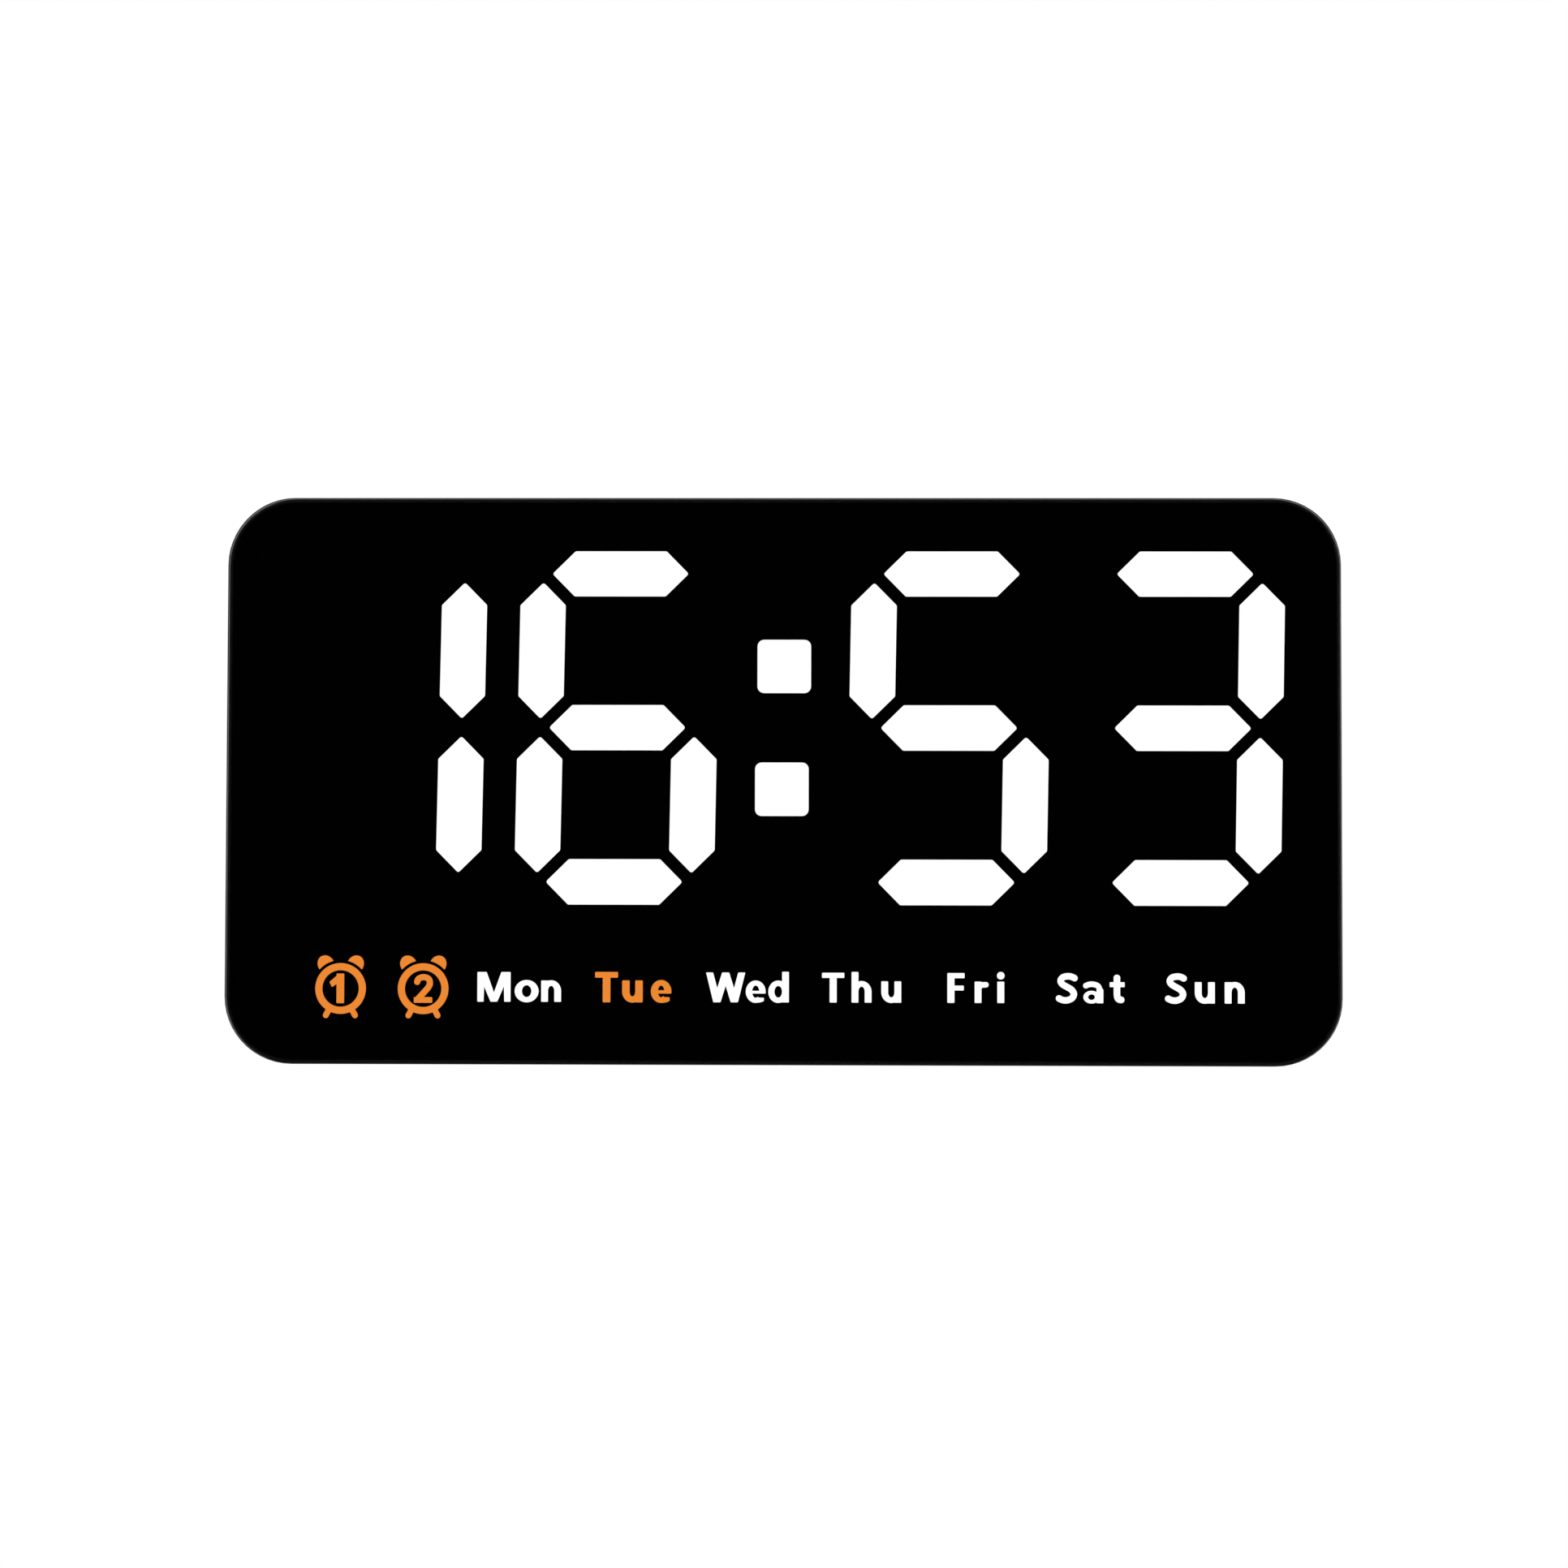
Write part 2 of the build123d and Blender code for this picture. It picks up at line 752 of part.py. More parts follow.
    # Sound slots behind the buzzer
    with BuildSketch(depth(0)):
        with Locations((zone_x, bay_z)):
            with GridLocations(slot_pitch, slot_pitch, slot_count, 1):
                SlotOverall(slot_length, slot_width, rotation=90)
    extrude(amount=back_wall, mode=Mode.SUBTRACT)
    fillet(rear_cover.edges(Select.LAST).group_by(Axis.Y)[-1], slot_edge)

    # Power opening in the side wall, with a shallow recess for the plug's grip
    with BuildSketch(across(-half_width)):
        with Locations((-usb_depth, usb_z)):
            RectangleRounded(usb_recess_height, usb_recess_width, usb_recess_corner)
    extrude(amount=usb_recess_depth, mode=Mode.SUBTRACT)
    fillet(rear_cover.edges(Select.LAST).group_by(Axis.X)[0], usb_recess_edge)
    with BuildSketch(across(-half_width)):
        with Locations((-usb_depth, usb_z)):
            SlotOverall(usb_width + 2 * usb_clearance, usb_height + 2 * usb_clearance, rotation=90)
    extrude(amount=wall, mode=Mode.SUBTRACT)
save(rear_cover, "rear_cover")

# Case screws: sunk pan heads with a cross recess
with BuildPart() as case_screws:
    with BuildSketch(depth(head_sink)):
        lay_boss_circles(screw_head_radius)
    extrude(amount=screw_head_height)
    fillet(case_screws.edges().group_by(Axis.Y)[-1], screw_head_edge)
    with BuildSketch(depth(head_sink)):
        lay_boss_circles(screw_radius)
    extrude(amount=screw_end - head_sink)
    with BuildSketch(depth(head_sink)):
        with Locations((0, case_z)):
            with GridLocations(2 * boss_x, 2 * boss_z, 2, 2):
                lay_crosses(recess_length)
    extrude(amount=recess_depth, mode=Mode.SUBTRACT)
save(case_screws, "case_screws")

# Battery door: a plate with a hinge barrel, two pins and a springy latch tongue
with BuildPart() as battery_door:
    with BuildSketch(across(0)):
        with Locations((-door_recess, hinge_z)):
            Rectangle(door_thickness, hinge_z - door_foot, align=(Align.MAX, Align.MAX))
        with Locations((-hinge_depth, hinge_z)):
            Circle(knuckle_radius)
    extrude(amount=door_half, both=True)
    fillet(battery_door.edges().filter_by(Axis.Y).group_by(Axis.Z)[0], door_corner)
    with BuildSketch(across(0)):
        with Locations((-hinge_depth, hinge_z)):
            Circle(hinge_pin_radius)
    extrude(amount=door_half + door_clearance + hinge_pin_length, both=True)
    with BuildSketch(depth(door_recess)):
        with Locations((0, door_foot)):
            with GridLocations(tongue_width, tongue_width, 2, 1):
                Rectangle(tongue_slot, 2 * tongue_length)
    extrude(amount=door_thickness, mode=Mode.SUBTRACT)
    with BuildSketch(depth(door_recess)):
        with Locations((0, door_foot + tongue_length / 2)):
            with GridLocations(grip_pitch, grip_pitch, 1, grip_count):
                SlotOverall(grip_length, grip_width)
    extrude(amount=grip_depth, mode=Mode.SUBTRACT)
save(battery_door, "battery_door")

# Battery cells: a can with a shoulder and a contact nub, laid head to tail
with BuildPart() as battery_cells:
    for turn, cell_z in zip(cell_turns, cell_rows):
        nub_tip = turn * (bay_half - plate_thickness - dimple_height - contact_gap)
        can_end = nub_tip - turn * cell_nub_length
        with BuildSketch(across(can_end)):
            with Locations((-cell_depth, cell_z)):
                Circle(cell_diameter / 2)
        extrude(amount=-turn * (cell_length - cell_nub_length))
        with BuildSketch(across(can_end)):
            with Locations((-cell_depth, cell_z)):
                Circle(cell_nub_radius)
        extrude(amount=turn * cell_nub_length)
    rims = battery_cells.edges().filter_by(GeomType.CIRCLE).group_by(SortBy.RADIUS)[-1]
    fillet(rims, cell_shoulder)
save(battery_cells, "battery_cells")

# Contact plates at the bay's ends: two single ones with a tail, two that bridge two cells
contact_plates = [(1, [0]), (1, [1, 2]), (-1, [0, 1]), (-1, [2])]
with BuildPart() as battery_contacts:
    for side, cells in contact_plates:
        plate_z = sum(cell_rows[i] for i in cells) / len(cells)
        with BuildSketch(across(side * bay_half)):
            with Locations((-cell_depth, plate_z)):
                Rectangle(plate_height, (len(cells) - 1) * cell_pitch + plate_width)
        extrude(amount=-side * plate_thickness)
        if len(cells) == 1:
            with BuildSketch(across(side * bay_half)):
                with Locations((-cell_depth, plate_z)):
                    Rectangle(tail_thickness, tail_width)
            extrude(amount=side * (bay_wall + tail_length))
    for turn, cell_z in zip(cell_turns, cell_rows):
        with BuildSketch(across(turn * (bay_half - plate_thickness))):
            with Locations((-cell_depth, cell_z)):
                Circle(dimple_radius)
        extrude(amount=-turn * dimple_height)
save(battery_contacts, "battery_contacts")

# Contact springs: a tapered coil at the flat end of each cell
spring_inset = spring_wire_radius + contact_gap
spring_rise = spring_length - 2 * spring_inset
spring_taper = degrees(atan((spring_top_radius - spring_base_radius) / spring_rise))
with BuildPart() as battery_springs:
    for turn, cell_z in zip(cell_turns, cell_rows):
        foot_x = -turn * (bay_half - plate_thickness - spring_inset)
        with BuildLine() as coil:
            Helix(
                spring_rise / spring_turns,
                spring_rise,
                spring_base_radius,
                center=(foot_x, -cell_depth, cell_z),
                direction=(turn, 0, 0),
                cone_angle=spring_taper,
            )
        with BuildSketch(Plane(origin=coil.line @ 0, z_dir=coil.line % 0)):
            Circle(spring_wire_radius)
        sweep(path=coil.line, is_frenet=True)
save(battery_springs, "battery_springs")
print("gap between spring turns", spring_rise / spring_turns - 2 * spring_wire_radius)

# Battery leads: from the tail of a single plate to the back of the board
for name, side, row in (("battery_lead_red", 1, 0), ("battery_lead_black", -1, 2)):
    lead_x = side * (bay_half + bay_wall + tail_length)
    lead_depth = cell_depth + tail_thickness / 2 + lead_radius
    with BuildPart() as battery_lead:
        with BuildLine() as route:
            FilletPolyline(
                (lead_x - side * tail_length / 2, -lead_depth, cell_rows[row]),
                (lead_x + side * lead_reach, -lead_depth, cell_rows[row]),
                (lead_x + side * lead_reach, -board_back, cell_rows[row]),
                radius=lead_bend,
            )
        with BuildSketch(Plane(origin=route.line @ 0, z_dir=route.line % 0)):
            Circle(lead_radius)
        sweep(path=route.line)
    save(battery_lead, name)

# Button caps: a round head, a flange that keeps it in the cover and a stem to the switch
first_button_x = -(button_count - 1) * button_pitch / 2
for index, button_name in enumerate(button_names):
    button_place = (first_button_x + index * button_pitch, button_z)
    with BuildPart() as button_cap:
        with BuildSketch(depth(button_top)):
            with Locations(button_place):
                Circle(cap_radius)
        extrude(amount=flange_back - button_top)
        fillet(button_cap.faces().sort_by(Axis.Y)[-1].edges(), cap_edge)
        with BuildSketch(depth(flange_back)):
            with Locations(button_place):
                Circle(cap_radius + flange_width)
        extrude(amount=flange_thickness)
        with BuildSketch(depth(flange_front)):
            with Locations(button_place):
                Circle(stem_radius)
        extrude(amount=plunger_top - flange_front)
    save(button_cap, f"{button_name}_button")
    with BuildPart() as switch_plunger:
        with BuildSketch(depth(plunger_top)):
            with Locations(button_place):
                Circle(plunger_radius)
        extrude(amount=plunger_rise + plunger_seat)
    save(switch_plunger, f"{button_name}_plunger")

# Switch bodies on the board, each with a bore for its plunger
with BuildPart() as push_switches:
    with BuildSketch(depth(switch_top)):
        with Locations((0, button_z)):
            with GridLocations(button_pitch, button_pitch, button_count, 1):
                Rectangle(switch_size, switch_size)
    extrude(amount=switch_height)
    with BuildSketch(depth(switch_top)):
        lay_button_circles(plunger_radius + plunger_clearance)
    extrude(amount=plunger_seat + button_travel + plunger_end_gap, mode=Mode.SUBTRACT)
save(push_switches, "push_switches")

# Power socket: a rounded metal shell with a contact tongue inside
with BuildPart() as usb_socket:
    with BuildSketch(across(usb_mouth)):
        with Locations((-usb_depth, usb_z)):
            SlotOverall(usb_width, usb_height, rotation=90)
    extrude(amount=usb_length)
    with BuildSketch(across(usb_mouth)):
        with Locations((-usb_depth, usb_z)):
            SlotOverall(usb_width - 2 * usb_shell, usb_height - 2 * usb_shell, rotation=90)
    extrude(amount=usb_hollow, mode=Mode.SUBTRACT)
    with BuildSketch(across(usb_mouth + usb_hollow)):
        with Locations((-usb_depth, usb_z)):
            Rectangle(usb_tongue_thickness, usb_tongue_width)
    extrude(amount=-usb_tongue_length)
save(usb_socket, "usb_socket")

# Buzzer: a round can with a sound hole
with BuildPart() as buzzer:
    with BuildSketch(depth(board_back - buzzer_height)):
        with Locations((zone_x, bay_z)):
            Circle(buzzer_radius)
    extrude(amount=buzzer_height)
    with BuildSketch(depth(board_back - buzzer_height)):
        with Locations((zone_x, bay_z)):
            Circle(buzzer_hole_radius)
    extrude(amount=buzzer_hole_depth, mode=Mode.SUBTRACT)
save(buzzer, "buzzer")

# Microcontroller: a square chip with pins on all four sides
with BuildPart() as microcontroller:
    with BuildSketch(depth(board_back - controller_height)):
        with Locations((-zone_x, bay_z)):
            Rectangle(controller_size, controller_size)
    extrude(amount=controller_height)
    with BuildSketch(depth(board_back - pin_thickness)):
        with Locations((-zone_x, bay_z)):
            with GridLocations(controller_pin_pitch, controller_pin_pitch, controller_pins, 1):
                Rectangle(pin_width, controller_size + 2 * pin_reach)
            with GridLocations(controller_pin_pitch, controller_pin_pitch, 1, controller_pins):
                Rectangle(controller_size + 2 * pin_reach, pin_width)
    extrude(amount=pin_thickness)
save(microcontroller, "microcontroller")

# LED driver chips: long packages with pins on two sides
driver_z = bay_top + bay_wall + driver_lift
with BuildPart() as driver_chips:
    with BuildSketch(depth(board_back - driver_height)):
        with Locations((0, driver_z)):
            with GridLocations(driver_spacing, driver_spacing, 2, 1):
                Rectangle(driver_length, driver_width)
    extrude(amount=driver_height)
    for side in (1, -1):
        with BuildSketch(depth(board_back - pin_thickness)):
            with Locations((side * driver_spacing / 2, driver_z)):
                with GridLocations(driver_pin_pitch, driver_pin_pitch, driver_pins, 1):
                    Rectangle(pin_width, driver_width + 2 * pin_reach)
        extrude(amount=pin_thickness)
save(driver_chips, "driver_chips")

# Quartz crystal: a flat can with round ends
with BuildPart() as quartz_crystal:
    with BuildSketch(depth(board_back - crystal_height)):
        with Locations((-zone_x, bay_z - crystal_drop)):
            SlotOverall(crystal_length, crystal_width)
    extrude(amount=crystal_height)
save(quartz_crystal, "quartz_crystal")

# Capacitors: two cans on square bases
with BuildPart() as capacitors:
    with BuildSketch(depth(board_back - capacitor_base_height)):
        with Locations((zone_x + capacitor_shift, bay_z)):
            with GridLocations(capacitor_spacing, capacitor_spacing, 1, 2):
                Rectangle(capacitor_base, capacitor_base)
    extrude(amount=capacitor_base_height)
    with BuildSketch(depth(board_back - capacitor_height)):
        with Locations((zone_x + capacitor_shift, bay_z)):
            with GridLocations(capacitor_spacing, capacitor_spacing, 1, 2):
                Circle(capacitor_radius)
    extrude(amount=capacitor_height - capacitor_base_height)
save(capacitors, "capacitors")

# Chip resistors in a row above the buttons
with BuildPart() as chip_resistors:
    with BuildSketch(depth(board_back - resistor_height)):
        with Locations((0, button_z + resistor_rise)):
            with GridLocations(resistor_pitch, resistor_pitch, resistor_count, 1):
                Rectangle(resistor_length, resistor_width)
    extrude(amount=resistor_height)
save(chip_resistors, "chip_resistors")

print("case", case_width, case_height, lens_back + lens_thickness)
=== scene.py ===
# %% [markdown]
# A digital wall clock, dressed for its portrait.
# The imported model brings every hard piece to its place: case, lens, film, figures, board, cells and
# buttons. What is left for Blender is what the eye reads as real: finishes, the printed words and
# signs, small marks, light and a camera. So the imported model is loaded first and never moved, and its
# box is kept, because nothing added later may grow out of it.

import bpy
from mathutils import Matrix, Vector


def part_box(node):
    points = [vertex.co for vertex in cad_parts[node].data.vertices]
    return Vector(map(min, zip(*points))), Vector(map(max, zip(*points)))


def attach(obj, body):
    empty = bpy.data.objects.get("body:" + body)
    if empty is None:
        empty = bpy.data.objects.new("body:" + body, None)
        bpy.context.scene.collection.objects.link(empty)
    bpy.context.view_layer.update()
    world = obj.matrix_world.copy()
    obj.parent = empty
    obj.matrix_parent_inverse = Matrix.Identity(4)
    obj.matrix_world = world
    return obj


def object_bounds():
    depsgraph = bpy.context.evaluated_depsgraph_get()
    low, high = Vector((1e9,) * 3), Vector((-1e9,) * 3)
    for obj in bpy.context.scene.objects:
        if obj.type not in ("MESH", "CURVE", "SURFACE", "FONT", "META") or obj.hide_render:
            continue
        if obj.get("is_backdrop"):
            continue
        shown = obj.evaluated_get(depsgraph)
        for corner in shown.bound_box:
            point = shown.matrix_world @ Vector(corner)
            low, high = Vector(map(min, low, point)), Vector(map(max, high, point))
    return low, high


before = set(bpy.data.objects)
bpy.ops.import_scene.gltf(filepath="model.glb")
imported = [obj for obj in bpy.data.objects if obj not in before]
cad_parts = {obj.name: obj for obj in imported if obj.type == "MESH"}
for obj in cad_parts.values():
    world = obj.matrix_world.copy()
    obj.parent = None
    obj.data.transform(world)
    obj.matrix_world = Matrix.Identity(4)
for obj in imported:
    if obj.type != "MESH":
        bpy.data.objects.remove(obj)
cad_box = [list(corner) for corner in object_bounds()]
TO_MM = 1000


def box_in_mm(box):
    return [[round(TO_MM * side, 2) for side in corner] for corner in box]


print("case box in millimetres:", box_in_mm(cad_box))

# %% [markdown]
# A finish is a small net of nodes that ends in one Principled shader.
# Nets can be wired by hand, node by node, but sums such as "a little rougher where the grain is high"
# then take ten lines each. Wrapping a socket in a class that knows plus, minus and times lets us write
# the sum itself, and each operator adds its own Math node.

# %% A socket that takes part in sums
class Wire:
    """One output of a node. A sum with it adds a Math node to the same net."""

    def __init__(self, net, socket):
        self.net = net
        self.socket = socket

    def math(self, operation, first, second=0.0):
        return self.net.add("ShaderNodeMath", {"operation": operation}, {0: first, 1: second})

    def other(self, name):
        """Another output of the same node."""
        return Wire(self.net, self.socket.node.outputs[name])

    def __add__(self, term):
        return self.math("ADD", self, term)

    def __sub__(self, term):
        return self.math("SUBTRACT", self, term)

    def __rsub__(self, term):
        return self.math("SUBTRACT", term, self)

    def __mul__(self, factor):
        return self.math("MULTIPLY", self, factor)

    def __truediv__(self, divisor):
        return self.math("DIVIDE", self, divisor)

    def __abs__(self):
        return self.math("ABSOLUTE", self)

    def __gt__(self, edge):
        return self.math("GREATER_THAN", self, edge)

    def __lt__(self, edge):
        return self.math("LESS_THAN", self, edge)

    def __or__(self, mask):
        return self.math("MAXIMUM", self, mask)

    __radd__ = __add__
    __rmul__ = __mul__


print("a wire knows + - * / abs > < and |")

# %% [markdown]
# A net is the tree of nodes of a material or of the world.
# One method makes any node: settings first, because they decide which sockets a node has, then the
# values or links of its sockets. A finish is a net with a material and its Principled shader. Values
# that are the same all over go straight onto the shader.

# %% A net of nodes and a material made from one
import bpy


class Net:
    """The nodes of a material or of the world."""

    def __init__(self, owner):
        owner.use_nodes = True
        self.tree = owner.node_tree

    def join(self, value, socket):
        if isinstance(value, Wire):
            self.tree.links.new(value.socket, socket)
        else:
            socket.default_value = value

    def fill(self, node, sockets):
        """Set or link the named sockets of a node."""
        for key, value in sockets.items():
            self.join(value, node.inputs[key])

    def add(self, kind, settings=None, sockets=None, output=0):
        """A new node: its settings come first, then the values or links of its sockets."""
        node = self.tree.nodes.new(kind)
        for name, value in (settings or {}).items():
            setattr(node, name, value)
        self.fill(node, sockets or {})
        return Wire(self, node.outputs[output])


class Finish(Net):
    """A material with one Principled shader."""

    def __init__(self, name, even):
        self.material = bpy.data.materials.new(name)
        super().__init__(self.material)
        self.shader = self.tree.nodes["Principled BSDF"]
        self.surface(even)

    def surface(self, sockets):
        self.fill(self.shader, sockets)

    def look(self, name):
        """The wire that already feeds a socket of the shader."""
        return Wire(self, self.shader.inputs[name].links[0].from_socket)


print("a net adds nodes, and a finish sets its shader")

# %% [markdown]
# Every real surface wanders a little: moulded plastic has a spark-eroded grain, a pressed sheet has
# cloudy gloss. Noise in the object's own metres gives both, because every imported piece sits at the
# origin with its place in its mesh, so one scale means the same size on every piece.

# %% Noise, mixing and relief
MM = 0.001


def place_of(finish):
    return finish.add("ShaderNodeTexCoord", output="Object")


def speckle(finish, size, detail=2.0, place=None):
    """Random patches from 0 to 1, about size millimetres across."""
    sockets = {"Vector": place or place_of(finish), "Scale": 1 / (size * MM), "Detail": detail}
    return finish.add("ShaderNodeTexNoise", {"noise_dimensions": "3D"}, sockets)


def blend_colour(finish, share, first, second):
    """The first colour where share is 0 and the second where it is 1."""
    mix_inputs = {0: share, 6: first, 7: second}
    return finish.add("ShaderNodeMix", {"data_type": "RGBA"}, mix_inputs, output=2)


def relief(finish, height, rise, strength=0.35, under=None):
    """A normal that makes height stand out by rise millimetres, bent from the normal under it."""
    sockets = {"Height": height, "Distance": rise * MM, "Strength": strength}
    if under:
        sockets["Normal"] = under
    return finish.add("ShaderNodeBump", None, sockets)


def rgba(red, green, blue):
    return (red, green, blue, 1.0)


def shade(colour, factor):
    return rgba(*(factor * part for part in colour[:3]))


print("noise is measured in millimetres")

# %% [markdown]
# Most pieces in the clock are moulded plastic or printed sheet. Each could have a net of its own, but
# they differ in little, so they share one recipe: the colour drifts in broad patches, the gloss follows
# a fine grain, and the grain stands out by a few microns. Only colour, gloss, grain size and relief
# differ from piece to piece.

# %% The moulded recipe and how a node is dressed
PATCH, PATCH_DEEP, PATCH_PALE = 9.0, 0.82, 1.12
GRAIN_GLOSS, PATCH_GLOSS = 0.1, 0.06


def moulded(name, colour, roughness, grain=0.5, rise=0.004, even=None):
    """Moulded plastic or sheet: drifting colour, grainy gloss and a fine relief."""
    finish = Finish(name, even or {})
    fine, broad = speckle(finish, grain), speckle(finish, PATCH, 3.0)
    smoothest = roughness - (GRAIN_GLOSS + PATCH_GLOSS) / 2
    finish.surface({
        "Base Color": blend_colour(finish, broad, shade(colour, PATCH_DEEP), shade(colour, PATCH_PALE)),
        "Roughness": smoothest + GRAIN_GLOSS * fine + PATCH_GLOSS * broad,
        "Normal": relief(finish, fine, rise),
    })
    return finish


def dress(finish, *names):
    """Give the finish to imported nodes, in the slots they already have."""
    for name in names:
        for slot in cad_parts[name].material_slots:
            slot.material = finish.material
    print(finish.material.name, "on", ", ".join(names))


print(len(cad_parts), "packed nodes wait for a finish")

# %% [markdown]
# The whole face is one smoked acrylic panel. On the bench it is a dark tinted sheet that lets about a
# third of the light through and hides everything that isn't lit. Refraction could model it, but a thin
# flat panel hardly bends light, so a near-black shader with plain transparency does the same and also
# survives the export. Light crosses two faces of the panel, so each face passes the square root of the
# whole. Seen edge on, the tint is as deep as the panel is wide, so its rim is simply black: the normal
# tells the rim from the faces. The gloss is that of an anti-glare sheet and wanders like finger marks.

# %% Smoked lens
LENS_FACE_PASS, RIM_TURN = 0.55, 0.5
LENS_PASS = LENS_FACE_PASS**2
SMOKE, ANTI_GLARE = rgba(0.0005, 0.0005, 0.0005), 0.09
FINGER_MARK = 22.0


def facing_of(finish):
    """How squarely the surface faces along Y: -1 on the front, 1 on the back, 0 on the sides."""
    normal = finish.add("ShaderNodeNewGeometry", output="Normal")
    return finish.add("ShaderNodeSeparateXYZ", None, {0: normal}, "Y")


lens = Finish("smoked_acrylic", {"Base Color": SMOKE, "Specular IOR Level": ANTI_GLARE})
lens_front = abs(facing_of(lens)) > RIM_TURN
lens.surface({
    "Alpha": 1.0 - LENS_FACE_PASS * lens_front,
    "Roughness": 0.05 + 0.06 * speckle(lens, FINGER_MARK, 4.0),
})
dress(lens, "front_lens")
print("the lens passes", round(LENS_PASS, 3), "of the light")

# %% [markdown]
# Behind the lens lie a black printed film and a ring of foam tape, both as black as ink gets, so that
# nothing but the lit figures shows. The unlit diffusers are the same milky plastic as the lit ones, but
# they take the same ink black as painted shade, so that figures whose lights are off vanish, as on real
# displays. One flat black would do from the front, but seen at a slant film and foam catch light
# differently, so each takes the moulded recipe with its own grain and little sheen.

# %% Film, tape and unlit diffusers
# The ink black is the real colour of film and tape, and painted shade on the unlit diffusers.
INK_AND_SHADE_BLACK, INK_SHEEN = rgba(0.001, 0.001, 0.001), {"Specular IOR Level": 0.015}


def nodes_ending(tail):
    """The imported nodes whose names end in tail, in order."""
    return [name for name in sorted(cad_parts) if name.endswith(tail)]


film = moulded("black_ink_film", INK_AND_SHADE_BLACK, 0.7, grain=0.3, rise=0.001, even=INK_SHEEN)
tape = moulded("foam_tape", INK_AND_SHADE_BLACK, 0.9, grain=0.25, rise=0.02, even=INK_SHEEN)
# Painted shade: the unlit diffusers are milky plastic, coloured ink black because no light is behind them.
unlit = moulded("unlit_diffuser_painted_shade", INK_AND_SHADE_BLACK, 0.7, grain=0.4, even=INK_SHEEN)
dress(film, "legend_film")
dress(tape, "lens_tape")
dress(unlit, *nodes_ending("_dark"))

# %% [markdown]
# A lit figure is a milky block with LEDs behind it. The block scatters the light, so its face glows
# evenly, with only a trace of cloudiness. A lamp behind real scattering plastic would be noisy and
# slow, so the block itself emits. The glow is divided by what the lens passes, so that it leaves the
# front of the clock with the wanted colour.

# %% Glowing diffusers
WHITE_SEEN = rgba(1.0, 1.0, 1.0)
ORANGE_SEEN = rgba(0.78, 0.234, 0.031)
MILK_CLOUD, MILK_DEEP, MILK_PALE, GLOW_DEEP = 6.0, 0.74, 0.8, 0.98


def glowing(name, seen):
    """A milky diffuser that reads as the seen colour through the lens."""
    brightest = max(seen[:3])
    strength = brightest / LENS_PASS
    colour = shade(seen, 1 / brightest)
    finish = Finish(name, {"Emission Strength": strength, "Roughness": 0.45, "Specular IOR Level": 0.2})
    cloud = speckle(finish, MILK_CLOUD, 3.0)
    finish.surface({
        "Base Color": blend_colour(finish, cloud, shade(colour, MILK_DEEP), shade(colour, MILK_PALE)),
        "Emission Color": blend_colour(finish, cloud, shade(colour, GLOW_DEEP), colour),
    })
    return finish


white_glow = glowing("white_glow", WHITE_SEEN)
orange_glow = glowing("orange_glow", ORANGE_SEEN)
orange_lights = ["alarm_1_light", "alarm_2_light", "tuesday_light"]
day_lights = [name for name in nodes_ending("day_light") if name not in orange_lights]
dress(white_glow, "colon_dots", *nodes_ending("_lit"), *day_lights)
dress(orange_glow, *orange_lights)

# %% [markdown]
# The case is black ABS from a spark-eroded mould: a dry, even grain about a third of a millimetre
# across. Handling polishes rounded edges first. On a filleted edge the surface normal lies between the
# wall direction and the sides, so the product of its two parts finds the edges without any painting.
# The crisp corners of the moulding get a hair of rounding from the Bevel node, which only bends the
# normal and leaves the mesh alone.

# %% Case plastic
CASE_BLACK = rgba(0.011, 0.011, 0.012)
CASE_GRAIN, CASE_PATCH = 0.33, 14.0
CASE_RISE, CASE_RELIEF, CORNER_ROUND = 0.02, 0.4, 0.14
case = Finish("spark_textured_abs", {"Specular IOR Level": 0.26})
grain = speckle(case, CASE_GRAIN, 3.0)
broad = speckle(case, CASE_PATCH, 4.0)
facing = facing_of(case)
edge = 4.0 * (facing * facing) * (1.0 - facing * facing)
polish = edge * broad
soft_corner = case.add("ShaderNodeBevel", {"samples": 6}, {"Radius": CORNER_ROUND * MM})
bumps = relief(case, grain, CASE_RISE, CASE_RELIEF, soft_corner)
wear = 0.6 * broad + 0.4 * polish
case.surface({
    "Base Color": blend_colour(case, wear, shade(CASE_BLACK, 0.8), shade(CASE_BLACK, 1.6)),
    "Roughness": 0.44 + 0.12 * grain + 0.06 * broad - 0.16 * polish,
    "Normal": bumps,
})
dress(case, "front_frame", "rear_cover", "battery_door")

# %% [markdown]
# The button caps are moulded from a softer dark grey plastic with a silky grain, a shade lighter than
# the case so that a finger finds them. Their switch plungers are plain nylon. The case's own finish
# could serve for both, but its dry grain is coarse on caps this small, so they take the moulded recipe.

# %% Buttons and plungers
BUTTONS = ("mode", "set", "up", "down", "alarm")
CAP_GREY, CAP_SHEEN = rgba(0.05, 0.051, 0.054), {"Specular IOR Level": 0.4}
caps = moulded("silky_grey_caps", CAP_GREY, 0.5, grain=0.25, rise=0.006, even=CAP_SHEEN)
nylon = moulded("plunger_nylon", rgba(0.05, 0.035, 0.02), 0.45)
dress(caps, *[f"{name}_button" for name in BUTTONS])
dress(nylon, *[f"{name}_plunger" for name in BUTTONS])

# %% [markdown]
# Metal parts share a second recipe. Plating is bright but never even: its gloss drifts, and fine
# scratches lie along one direction. Stretching the noise along that direction draws the scratches.

# %% The plated recipe
SCRATCH, SCRATCH_PULL, SCRATCH_RISE = 0.5, (1.0, 6.0, 1.0), 0.003
PLATE_CLOUD, PLATE_DEEP = 3.0, 0.84


